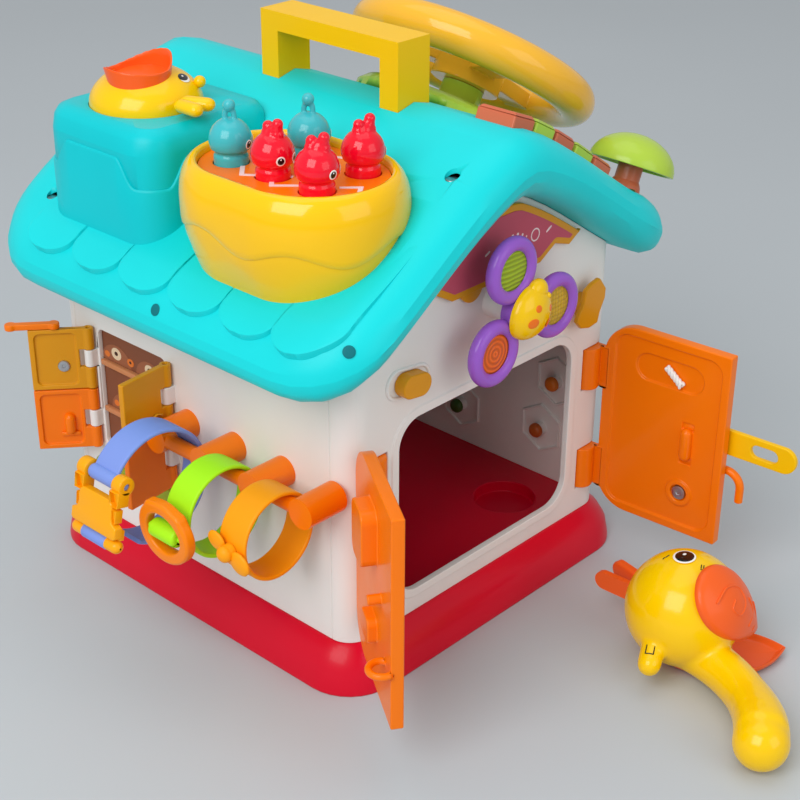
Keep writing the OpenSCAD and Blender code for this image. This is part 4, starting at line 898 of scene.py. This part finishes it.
def makeChick():
    wide, tall, deep = chick["body"]
    foot = chick["foot"]
    rows = [(1, 0), (1, foot)] + [(c, foot + (1 - foot) * s) for c, s in map(cosSin, range(10, 90, 8))]

    def place(turn, row):
        a = 2 * math.pi * turn
        v = tall * math.sin(a) * (1 + chick["crown"] * math.sin(a))
        u = wide * math.cos(a) + chick["lean"] * v
        return gableSeat(u * row[0], v * row[0], chick["base"] + deep * row[1]) * mm

    bm = bmesh.new()
    sweepRings(bm, 72, place, rows, True, True)
    for (at, size), smooth in ((chick["lump"], 32), (chick["nub"], 20)):
        ball(bm, gableSeat(*at), size, gableOut, smooth)
    dressNode("spinner_chick", bm, "duck", "spinner_cap")
    bm = bmesh.new()
    for u, v, across, up in chick["spots"]:
        high = math.sqrt(max(0.05, 1 - (u / wide) ** 2 - (v / tall) ** 2))
        normal = Vector((u / wide ** 2, -high / deep, v / tall ** 2)).normalized()
        w = chick["base"] + deep * (foot + (1 - foot) * high) - chick["spotSink"]
        ball(bm, gableSeat(u, v, w), (across, up, chick["spotDeep"]), normal, 24)
    finishPiece("spinner_chick_spots", bm, "spot", bodyOf["spinner_cap"])


makePads()
makeChick()
print("spinner dressed")


# sign: a pink face inside the mustard rim, with plain strokes, dots and a ring
signFace = dict(margin=3.6, rise=0.35, front=-109, lobe=(-19, 199.4, 8.2, 8.6), lobeDeep=(-106.8, -2.0),
                strokes=((39.2, 213.2, 5.0, 1.1, 30), (-9.2, 213.8, 4.2, 1.0, 26)), squash=0.3,
                taper=((-0.5, 0), (-0.4, 0.5), (0, 0.62), (0.4, 0.5), (0.5, 0)), tip=0.15,
                dots=((2.6, 215.2, 0.55), (6.2, 216.9, 0.75), (10, 217.6, 0.95), (14, 217.4, 0.95),
                      (17.8, 216.2, 0.75), (21, 214.4, 0.55)), dotDeep=0.25, ring=(28.2, 213.2, 3.2, 0.42))


def edgeChain(bm):
    # the rim of a flat patch as one chain of points
    rim = [e.link_loops[0] for e in bm.edges if len(e.link_faces) == 1]
    after = {loop.vert: loop.link_loop_next.vert for loop in rim}
    chain = [next(iter(after))]
    while after[chain[-1]] is not chain[0]:
        chain.append(after[chain[-1]])
    return [v.co / mm for v in chain]


def movedIn(points, margin, fine=0.7):
    # an upright outline moved inward; places that come too near to another side drop out
    dense = []
    for a, b in zip(points, points[1:] + points[:1]):
        steps = max(1, round((b - a).length / fine))
        dense += [a.lerp(b, k / steps) for k in range(steps)]
    kept = []
    for before, here, after in zip(dense[-1:] + dense[:-1], dense, dense[1:] + dense[:1]):
        ahead = (after - before).normalized()
        spot = here + Vector((-ahead.z, 0, ahead.x)) * margin
        if min((spot - q).length for q in dense) > margin * 0.97:
            kept.append(spot)
    return kept


def makeSign():
    bm = mergedCopy("sign_plate")
    front = min(f.calc_center_median().y for f in bm.faces)
    behind = [f for f in bm.faces if f.calc_center_median().y > front + 1e-5]
    bmesh.ops.delete(bm, geom=behind, context="FACES")
    bmesh.ops.dissolve_faces(bm, faces=bm.faces[:])
    outline = movedIn(edgeChain(bm), signFace["margin"])
    bm.free()
    bm = bmesh.new()
    plate(bm, outline, (0, -signFace["rise"], 0), 0)
    finishPiece("sign_face", bm, "pink", "house", crease=40)

    bm = bmesh.new()
    x, z, wide, high = signFace["lobe"]
    y, deep = signFace["lobeDeep"]
    plate(bm, [(x + wide * c, y, z + high * s) for c, s in map(cosSin, range(0, 360, 8))], (0, deep, 0), 0.5)
    finishPiece("sign_lobe", bm, "mustard", "house", crease=40)

    bm = bmesh.new()
    y = signFace["front"] - signFace["rise"] - 0.02
    for x, z, long, wide, turn in signFace["strokes"]:
        c, s = cosSin(turn)
        shapedTube(bm, [((x + t * long * c, y, z + t * long * s), wide * share or signFace["tip"])
                        for t, share in signFace["taper"]], 12)
    for x, z, size in signFace["dots"]:
        ball(bm, (x, y, z), (size, size, signFace["dotDeep"]), gableOut, 16)
    x, z, size, thick = signFace["ring"]
    tubeAlong(bm, [(x + size * c, y, z + size * s) for c, s in map(cosSin, range(0, 360, 10))], thick, 10, True)
    bmesh.ops.scale(bm, vec=(1, signFace["squash"], 1), verts=bm.verts,
                    space=Matrix.Translation((0, -y * mm, 0)))
    finishPiece("sign_marks", bm, "chalk", "house", crease=60)


# white oval collar round the left peg, and the coloured pegs inside on the far wall
collar = dict(at=(-62.5, -106.2, 162), half=7.6, round=7.4, turn=-8, tube=1.05)
innerPegs = dict(x=96.2, profile=((0, -0.5), (4.4, -0.5), (4.5, 0.3), (4.3, 1.6), (3.4, 2.7), (1.8, 3.3), (0, 3.4)),
                 pegs=(("green", (-2, 51), (62, 92, 40)), ("amber", (-74, 91), (224, 120, 40)),
                       ("rust", (-64, 57), (190, 92, 36))))


def makeCollar():
    c, s = cosSin(collar["turn"])
    spot = seat(collar["at"], (c, 0, s), (-s, 0, c))
    half, r = collar["half"], collar["round"]
    bend = [(half + r * c, r * s) for c, s in map(cosSin, range(-90, 91, 10))]
    bm = bmesh.new()
    tubeAlong(bm, [spot(u, v) for u, v in bend + [(-u, -v) for u, v in bend]], collar["tube"], 16, True)
    finishPiece("peg_collar", bm, "white", "house", crease=60)


def makeInnerPegs():
    for name, spot, rgb in innerPegs["pegs"]:
        paints[name + "Peg"] = moulded("innerPeg" + name.title(), rgb, 0.3, 0.03, 0.3)
        bm = bmesh.new()
        spun(bm, innerPegs["profile"], (innerPegs["x"], *spot), 36, Matrix.Rotation(-math.pi / 2, 4, "Y"))
        finishPiece(f"inner_peg_{name}", bm, name + "Peg", "house")


makeSign()
makeCollar()
makeInnerPegs()
print("gable and inner wall dressed")


# duck head: a dome left open under the beak, with tufts at its sides; rim holds the beak's heights round it
duck = dict(middle=(-79, 61, 270), reach=29, high=19, foot=262.4,
            mouth=(-84.6, 58.8), long=17.4, wide=16.0, axis=139,
            rim=(289.8, 290.6, 291.2, 290.9, 290.5, 290.2, 289.8, 289.5, 289.1, 289.1, 289.2, 290.2,
                 294, 296.6, 296.3, 295.8, 294.8, 293.2, 291.4, 289.6, 288.2, 287.3, 287.4, 288.4),
            tufts=(((-79.6, 27.4), (-75.2, 18.2), 4.2), ((-85.2, 25.4), (-85.0, 15.6), 4.1)), tuftFlat=0.82,
            tuftZ=276.5, nub=((-59.6, 41.5, 280.0), 3.1), eyes=(-58.3, 16), eyeOut=20.4, bowl=272.5,
            root=(1.01, 0.12, 0.07), sunk=1.2, wall=0.06, flare=(0.995, 0.8), lap=0.03,
            outer=((0, 0), (0.04, 0), (0.3, 0), (0.62, 0), (0.88, 0), (0.96, 0), (1.0, -0.02), (0.995, -0.04)),
            inner=((0.93, -0.06), (0.62, -0.06), (0.3, -0.06), (0.0, -0.06)),
            deep=((-0.3, 0.95), (-0.62, 0.88), (-0.86, 0.76), (-0.97, 0.6), (-1.0, 0.4)))
# duck eye lenses: part, paint, size, drop and lift; the glint lens is a painted highlight
duckLenses = (("eyeWhites", "bright", (4.3, 3.0, 0.3), 0.45, 0), ("pupils", "black", (4.2, 2.8, 0.42), -0.1, 0),
              ("paintedGlints", "bright", (0.9, 0.65, 0.3), -0.8, 0.25))


def domeZ(x, y):
    out = ((x - duck["middle"][0]) ** 2 + (y - duck["middle"][1]) ** 2) / duck["reach"] ** 2
    return duck["middle"][2] + duck["high"] * math.sqrt(max(0, 1 - out))


def mouthSpot(turn, share):
    a, (c, s) = 2 * math.pi * turn, cosSin(duck["axis"])
    u, v = duck["long"] * share * math.cos(a), duck["wide"] * share * math.sin(a)
    return duck["mouth"][0] + u * c - v * s, duck["mouth"][1] + u * s + v * c


def footShare(turn):
    # the beak's root, drawn in at both ends of the mouth
    c = math.cos(2 * math.pi * turn)
    full, rear, front = duck["root"]
    return full - (rear if c > 0 else front) * c * c


def makeDuckHead():
    # rows run from the mouth's wall over the dome to the foot
    rows = [-1] + [1 - (1 - k / 22) ** 2 for k in range(23)] + [2]

    def place(turn, row):
        x, y = mouthSpot(turn, footShare(turn) - duck["lap"])
        if row < 0:
            return Vector((x, y, duck["bowl"] - 1)) * mm
        farX, farY = [m + duck["reach"] * f for m, f in zip(duck["middle"], cosSin(360 * turn + duck["axis"]))]
        share = min(row, 1)
        x, y = x + (farX - x) * share, y + (farY - y) * share
        return Vector((x, y, domeZ(x, y) if row < 1 else duck["middle"][2] if row < 2 else duck["foot"])) * mm

    bm = bmesh.new()
    sweepRings(bm, 96, place, rows, True, True)
    z = duck["tuftZ"]
    for start, end, size in duck["tufts"]:
        old = set(bm.verts)
        middle = [(a + b) / 2 for a, b in zip(start, end)]
        roundTube(bm, [(*spot, z) for spot in (start, middle, end)], size, 24)
        bmesh.ops.scale(bm, vec=(1, 1, duck["tuftFlat"]), space=Matrix.Translation((0, 0, -z * mm)),
                        verts=[v for v in bm.verts if v not in old])
    ball(bm, *duck["nub"])
    dressNode("duck_head_dome", bm, "duck", "duck_head")


def rimZ(turn):
    # neighbours blended, then eased from one height to the next
    rim, count = duck["rim"], len(duck["rim"])
    k = int(turn * count)
    here, ahead = [(rim[n % count] * 2 + rim[(n - 1) % count] + rim[(n + 1) % count]) / 4 for n in (k, k + 1)]
    return here + (ahead - here) * ease(0, 1, turn * count - k)


def makeBeak():
    wide, bow = duck["flare"]

    def place(turn, row):
        high, inward = row
        low = footShare(turn)
        foot = domeZ(*mouthSpot(turn, low)) - duck["sunk"]
        if high < 0:
            x, y = mouthSpot(turn, (low - duck["wall"]) * inward)
            return Vector((x, y, foot + (foot - duck["bowl"]) * high)) * mm
        x, y = mouthSpot(turn, low + (wide - low) * high ** bow + inward)
        return Vector((x, y, foot + (rimZ(turn) - foot) * high)) * mm

    bm = bmesh.new()
    sweepRings(bm, 96, place, duck["outer"] + duck["inner"] + duck["deep"], True, True)
    dressNode("duck_beak_scoop", bm, "scoop", "duck_beak", 55)


def makeDuckEyes():
    middle = Vector(duck["middle"])
    for part, paint, size, drop, lift in duckLenses:
        bm = bmesh.new()
        for turn in duck["eyes"]:
            x, y = [m + duck["eyeOut"] * f for m, f in zip(middle, cosSin(turn))]
            spot = Vector((x, y, domeZ(x, y)))
            normal = (spot - middle) / duck["reach"] ** 2
            normal.z *= (duck["reach"] / duck["high"]) ** 2
            normal.normalize()
            across = normal.cross(Vector((0, 0, 1))).normalized()
            down = across.cross(normal)
            turned = Matrix((across, down, normal)).transposed().to_4x4()
            ball(bm, spot - down * drop + normal * lift, size, turned)
        finishPiece(f"duck_{part}", bm, paint, "duck")


makeDuckHead()
makeBeak()
makeDuckEyes()
print("duck dressed")


# beater: ball and grip in one skin, with wings, bill, eye and foot marks
beater = dict(middle=(36, -212.5, 31), radius=31, skin=(1.3, 14),
              grip=(-88, -8, -17.5, 81), ridge=(5.0, 7.4), heel=(11.4, 2.5, -28, -58),
              wing=((0.077, -0.88, 0.469), (0.672, -0.303, -0.676)), leaf=((13, -17), -42, 35, 19.5),
              wingRows=((0.03, 0), (0.2, 0), (0.38, 0), (0.55, 0), (0.7, 0), (0.82, 0), (0.9, 0), (0.955, 0.35),
                        (0.985, 1.0), (1.0, 2.0), (0.99, 3.6), (0.95, 4.4), (0.6, 4.6)),
              wingLines=(((-14, -6), (-10, 4), (-1, 8), (6, 3), (4, -5), (-3, -5), (-3, 0)),
                         ((10, 7), (16, 2), (15, -6)), ((17, 8), (23, 2), (22, -5))),
              leafRows=((0.05, 0.5), (0.8, 0.5), (0.9, 1.0), (0.97, 2.6), (1.0, 5.0), (0.985, 5.6), (0.955, 5.2),
                        (0.92, 3.2), (0.84, 2.2), (0.4, 2.0)),
              wingSize=(29, 22.5), wingMiddle=(2, 3), wingPoint=0.75, wingRise=(30.8, 3.4, 150),
              lineSpan=(30, 20), lineSink=0.25, lineThick=0.62,
              bill=(39, 5.25, 2.2, 3), billAt=(3, 18, -6.95), billStep=(5, -14), billTurn=92, billEdge=1.7,
              billHollow=18, eye=(-0.034, 0.07, 0.995), right=(0.679, -0.734, 0),
              lashes=(((8.2, -6.4), (7.6, -9)), ((9.6, -6.6), (9, -9.4)), ((7.4, -10), (9.2, -10.4)),
                      ((-9.6, 3.2), (-7.6, 4.4)), ((-11.4, 2.4), (-10.4, 3.4))),
              foot=((-18, 4, -6), (-0.833, -0.406, -0.375), 6.32), lanes=(-14, 5, 24), toes=(14.5, 17, 19.5))
# beater eye lenses: part, paint, size, right, up and lift; the glint lens is a painted highlight
beaterLenses = (("eyeWhite", "bright", (6.2, 5.9, 0.5), 0, 0, 0),
                ("pupil", "black", (5.65, 5.3, 0.68), 0.1, 0.05, 0.02),
                ("paintedGlint", "bright", (1.3, 1.0, 0.3), 0.3, 1.6, 0.55))
beaterAt = Vector(beater["middle"])


def gripSpot(turn, rise):
    x, y, z, reach = beater["grip"]
    c, s = cosSin(turn)
    return beaterAt + Vector((x + reach * c, y + reach * s, z + rise))


def makeBeaterBody():
    bm = mergedCopy("beater")
    size, rise = beater["ridge"]
    roundTube(bm, [gripSpot(a, rise) for a in range(-56, -12, 4)], size, 20)
    thin, more, start, end = beater["heel"]
    heel = [(a, thin + more * ease(start, end, a)) for a in range(-22, -62, -4)]
    shapedTube(bm, [(gripSpot(a, r - thin), r) for a, r in heel], 40)
    oneSkin(dressNode("beater_body", bm, "duck", "beater", 60, False), *beater["skin"])


def trimPiece(name, bm, node=None):
    finishPiece(name, bm, "wing", bodyOf["beater_trim"], node)


def wingTop(x, y, share):
    base, bulge, fall = beater["wingRise"]
    return base + bulge * (1 - share ** 2) - (x * x + y * y) / fall


def makeWing():
    out, along = [Vector(v).normalized() for v in beater["wing"]]
    across = out.cross(along).normalized()
    (long, wide), (middle, shift) = beater["wingSize"], beater["wingMiddle"]

    def spot(x, y, w):
        return beaterAt + along * x + across * y + out * w

    def place(turn, row):
        a = 2 * math.pi * turn
        share, drop = row
        x = middle + (shift + long * math.cos(a)) * share
        y = wide * math.sin(a) * abs(math.sin(a / 2)) ** beater["wingPoint"] * share
        return spot(x, y, wingTop(x, y, share) - drop) * mm

    bm = bmesh.new()
    sweepRings(bm, 84, place, beater["wingRows"], True, True)
    for points in beater["wingLines"]:
        path = smoothPath([(*q, 0) for q in points], 8)
        spanX, spanY = beater["lineSpan"]
        tops = [wingTop(p.x, p.y, min(1, math.hypot(p.x / spanX, p.y / spanY))) for p in path]
        path = [spot(p.x, p.y, top - beater["lineSink"]) for p, top in zip(path, tops)]
        roundTube(bm, path, beater["lineThick"], 10)
    trimPiece("beater_wing", bm, "beater_trim")


# the lower wing: a dish with pointed ends that lies on the floor
def makeUnderWing():
    (x, y), turn, long, wide = beater["leaf"]
    c, s = cosSin(turn)
    flat = seat((beaterAt.x + x, beaterAt.y + y, 0), (c, s, 0), (-s, c, 0))
    radius = (long * long + wide * wide) / (2 * wide)

    def dish(turn, row):
        b = 2 * math.pi * turn
        share, z = row
        u = long * math.cos(b)
        v = max(0.3, math.sqrt(max(0, radius ** 2 - u * u)) - radius + wide)
        return flat(u * share, math.copysign(v, math.sin(b) or 1) * share, z) * mm

    bm = bmesh.new()
    sweepRings(bm, 96, dish, beater["leafRows"], True, True)
    trimPiece("beater_under_wing", bm)


def makeBill():
    long, r, half, root = beater["bill"]
    for k, flip in ((0, 1), (1, -1)):
        shift, turn = [step * k for step in beater["billStep"]]
        c, s = cosSin(beater["billTurn"] + turn)
        at = beaterAt + Vector(beater["billAt"]) + Vector((shift, 0, 0))
        spot = seat(at, (flip * c, flip * s, 0), (0, 0, 1))
        tip = [(long - r + r * c, r * s) for c, s in map(cosSin, range(-90, 91, 10))]
        outline = [spot(flip * u, v, -half) for u, v in tip + [(-root, r), (-root, -r)]]
        bm = bmesh.new()
        plate(bm, outline, spot(0, 0, 2 * half) - spot(0, 0, 0), beater["billEdge"], 4)
        if k:  # the farther half is hollow on the mouth side
            face = nearestFace(bm.faces, spot(beater["billHollow"] * flip, 0, half))
            sinkFace(bm, face, (0.5, 0.5), spot(0, 0, -half) - spot(0, 0, 0))
        trimPiece(f"beater_bill_{k + 1}", bm)


def onBall(right, up):
    # a place on the ball, in millimetres right and up from the eye as the camera sees it
    out, ahead = Vector(beater["eye"]).normalized(), Vector(beater["right"])
    across = (ahead - out * out.dot(ahead)).normalized()
    normal = (out * beater["radius"] + across * right + out.cross(across) * up).normalized()
    return beaterAt + normal * beater["radius"], normal


def makeBeaterFace():
    for part, paint, size, right, up, lift in beaterLenses:
        bm = bmesh.new()
        at, normal = onBall(right, up)
        ball(bm, at + normal * lift, size, normal, 32)
        finishPiece(f"beater_{part}", bm, paint, "beater")
    bm = bmesh.new()
    for start, end in beater["lashes"]:
        middle = [(a + b) / 2 for a, b in zip(start, end)]
        roundTube(bm, [onBall(*spot)[0] for spot in (start, middle, end)], 0.28, 8)
    at, axis, size = beater["foot"]
    axis = Vector(axis)
    side = axis.cross(Vector((0, 0, 1))).normalized()
    top = side.cross(axis).normalized()

    def onFoot(along, turn):
        c, s = cosSin(turn)
        return beaterAt + Vector(at) + axis * along + (top * c + side * s) * size

    for lane in beater["lanes"][::2]:
        roundTube(bm, [onFoot(d, lane) for d in beater["toes"]], 0.3, 8)
    roundTube(bm, [onFoot(beater["toes"][-1], lane) for lane in beater["lanes"]], 0.3, 8)
    finishPiece("beater_marks", bm, "black", "beater", crease=60)


makeBeaterBody()
makeWing()
makeUnderWing()
makeBill()
makeBeaterFace()
print("beater dressed")


# shop window: tan ledges, plain bun, round and dot shapes on the panel, white beads in the side crevices
window = dict(at=(-101, 57, 107), ledges=(-14.4, 14.4), ledge=(28.2, 3.0, 2.7),
              shelves=((-35.6, 0), (-11.2, 3), (17.6, -2)), squat=0.85,
              beads=((-30.5, -28.7), (28.7, 30.5)), bead=(12.8, 2.9, 4.3))
prints = dict(bun=((158, 96, 66), 0.22, ((-15, 0, 12.5), (13, 0, 11.5))),
              cream=((232, 205, 170), 0.3, ((-15, 5.6, 4.2), (13, 5.0, 3.8))),
              jam=((225, 120, 50), 0.3, ((-23, 3.4, 2.2), (-3, 4.2, 2.8), (22, 3.6, 2.2))),
              crumb=((70, 40, 30), 0.36, ((-15, 5.8, 1.5), (13, 5.2, 1.4), (-3, 4.4, 1.0))))
windowSeat = seat(window["at"], (0, -1, 0), (0, 0, 1))


def makeWindow():
    half, back, front = window["bead"]
    bm = bmesh.new()
    for low, high in window["beads"]:
        block(bm, windowSeat, (low, -half, back), (high, half, front), 0.4)
    finishPiece("window_beads", bm, "white", "house", crease=40)
    wide, high, deep = window["ledge"]
    bm = bmesh.new()
    for v in window["ledges"]:
        block(bm, windowSeat, (-wide, v - 0.05, -0.1), (wide, v + high + 0.05, deep), 0.4)
    finishPiece("window_ledges", bm, "ledge", "house", crease=40)
    for name, (rgb, rise, spots) in prints.items():
        paints[name] = moulded("print" + name.title(), rgb, 0.5, 0.03)
        turns = range(0, 181, 9) if name == "bun" else range(0, 360, 12)
        bm = bmesh.new()
        for base, shift in window["shelves"]:
            for u, v, r in spots:
                outline = [windowSeat(u + shift + r * c, base + v + window["squat"] * r * s)
                           for c, s in map(cosSin, turns)]
                plate(bm, outline, windowSeat(0, 0, rise) - windowSeat(0, 0, 0), 0.08, 1)
        finishPiece(f"window_{name}s", bm, name, "house", crease=40)


# shutters and door leaf: screw heads, clip barrels, a staple and a braided stub
shutterAxis = dict(x=-107.5, z=107, row=18.5, rear=(89.5, -130, 1), front=(24.5, -96, -1))
leafHinge = dict(at=(88.5, -103.5), turn=94)
screw = ((0, 0.35), (0.25, 0.35), (0.32, 0.75), (0.7, 0.95), (0.92, 0.7), (1, 0.2), (1, -0.6), (0, -0.6))
shutterClip = dict(barrel=(1.2, 14), ends=(-6.6, -3, 0.2), size=3.0, seat=(0.2, 14, -3),
                   foot=((-5.2, -7.4, 0), (5.2, -5.2, 1.6)))
staple = dict(seat=(-1.75, 11, -11), foot=((-5, -3.4, -0.3), (5, -1.2, 1.5)), wire=0.85,
              path=((-3.6, -2.2, 0.9), (-3.6, 3.0, 1.3), (0, 4.4, 1.4), (3.6, 3.0, 1.3), (3.6, -2.2, 0.9)))
doorClip = dict(barrel=(63, 4.7), ends=(79, 85.5, 92), size=3.4, seat=(63, 6.9, 85.5), slots=(-10.5, 10.5),
                slot=(3.45, 1.95, 0.6))
screws = dict(shutter=((0.3, 14.5, -4.5), 3.4), door=((61, 5.6, 54), 4.3))
braid = dict(start=(47.5, 5.1, 127.5), end=(57, 5.1, 119.5), turns=1.7, size=(1.25, 0.75), strand=0.95,
             fray=(0.8, 2.5))


def shutterSpot(side, high, x, u, z):
    y, turn, mirror = shutterAxis[side]
    p = Matrix.Rotation(math.radians(turn), 3, "Z") @ Vector((x, -u, 0))
    return Vector((shutterAxis["x"] + p.x, y + mirror * p.y, shutterAxis["z"] + high * shutterAxis["row"] + z))


def leafSpot(u, w, z):
    p = Matrix.Rotation(math.radians(leafHinge["turn"]), 3, "Z") @ Vector((-u, -w, 0))
    return Vector((leafHinge["at"][0] + p.x, leafHinge["at"][1] + p.y, z))


def uprightSeat(at, out):
    return seat(at, Vector((0, 0, 1)).cross(out), (0, 0, 1))


def screwHead(name, body, at, out, size):
    bm = bmesh.new()
    spun(bm, [(r * size, z) for r, z in screw], at, 36, turnTo(out))
    finishPiece(name, bm, "steel", body, crease=40)


def makeShutterFittings():
    inner = shutterSpot("rear", 1, 1, 0, 0) - shutterSpot("rear", 1, 0, 0, 0)
    at, size = screws["shutter"]
    screwHead("shutter_screw", "shutter_1", shutterSpot("rear", 1, *at), inner, size)
    bm = bmesh.new()
    barrel = [shutterSpot("rear", -1, *shutterClip["barrel"], z) for z in shutterClip["ends"]]
    roundTube(bm, barrel, shutterClip["size"], 24)
    spot = uprightSeat(shutterSpot("rear", -1, *shutterClip["seat"]), inner)
    block(bm, spot, *shutterClip["foot"], 0.4)
    finishPiece("shutter_clip", bm, "orange", "shutter_2", crease=45)
    bm = bmesh.new()
    outer = shutterSpot("front", 1, -1, 0, 0) - shutterSpot("front", 1, 0, 0, 0)
    spot = uprightSeat(shutterSpot("front", 1, *staple["seat"]), outer)
    block(bm, spot, *staple["foot"], 0.5)
    roundTube(bm, [spot(*p) for p in staple["path"]], staple["wire"], 14)
    finishPiece("shutter_staple", bm, "mustard", "shutter_3", crease=45)


def makeLeafFittings():
    inner = leafSpot(0, -1, 0) - leafSpot(0, 0, 0)
    at, size = screws["door"]
    screwHead("door_screw", "door_right", leafSpot(*at), inner, size)
    bm = bmesh.new()
    roundTube(bm, [leafSpot(*doorClip["barrel"], z) for z in doorClip["ends"]], doorClip["size"], 28)
    spot = uprightSeat(leafSpot(*doorClip["seat"]), inner)
    wide, high, deep = doorClip["slot"]
    for v in doorClip["slots"]:
        block(bm, spot, (-wide, v - high, -deep), (wide, v + high, deep), 0.1, 1)
    finishPiece("door_clip", bm, "orange", "door_right", crease=45)
    bm = bmesh.new()
    start = leafSpot(*braid["start"])
    along = leafSpot(*braid["end"]) - start
    side = inner.cross(along).normalized()
    wide, deep = braid["size"]
    loose, fray = braid["fray"]
    for k in range(3):
        path = []
        for t in [step / 32 for step in range(33)]:
            c, s = cosSin(360 * (braid["turns"] * t + k / 3))
            swing = (side * c * wide + inner * s * deep) * (1 + fray * max(0, t - loose))
            path.append(start + along * t + swing)
        roundTube(bm, path, braid["strand"], 12)
    finishPiece("door_braid", bm, "bright", "door_right", crease=60)


# game deck: white angle strokes
deckMarks = dict(level=262.03, wide=2.3, rise=0.2,
                 strokes=(((-96.6, -30.6), (-105.0, -39.2), (-90.5, -58.6)),
                          ((-101.7, -56), (-105.4, -59.8), (-94.6, -71.4)),
                          ((-86, -84.2), (-79.0, -91.2), (-84.6, -95.6)), ((-78, -30), (-82, -36), (-72, -50)),
                          ((-58, -52), (-54, -60), (-60, -66))))


def makeDeckMarks():
    bm = bmesh.new()
    half = deckMarks["wide"] / 2
    for points in deckMarks["strokes"]:
        spots = [Vector((*q, deckMarks["level"])) for q in points]
        first, last = [Vector((0, 0, 1)).cross(b - a).normalized() for a, b in zip(spots, spots[1:])]
        sides = [n * half for n in (first, (first + last) / (1 + first.dot(last)), last)]
        outline = [p - n for p, n in zip(spots, sides)] + [p + n for p, n in zip(spots, sides)][::-1]
        plate(bm, outline, (0, 0, deckMarks["rise"]), 0.08, 1)
    finishPiece("deck_marks", bm, "chalk", "house", crease=40)


makeWindow()
makeShutterFittings()
makeLeafFittings()
makeDeckMarks()
print("window, fittings and deck dressed")
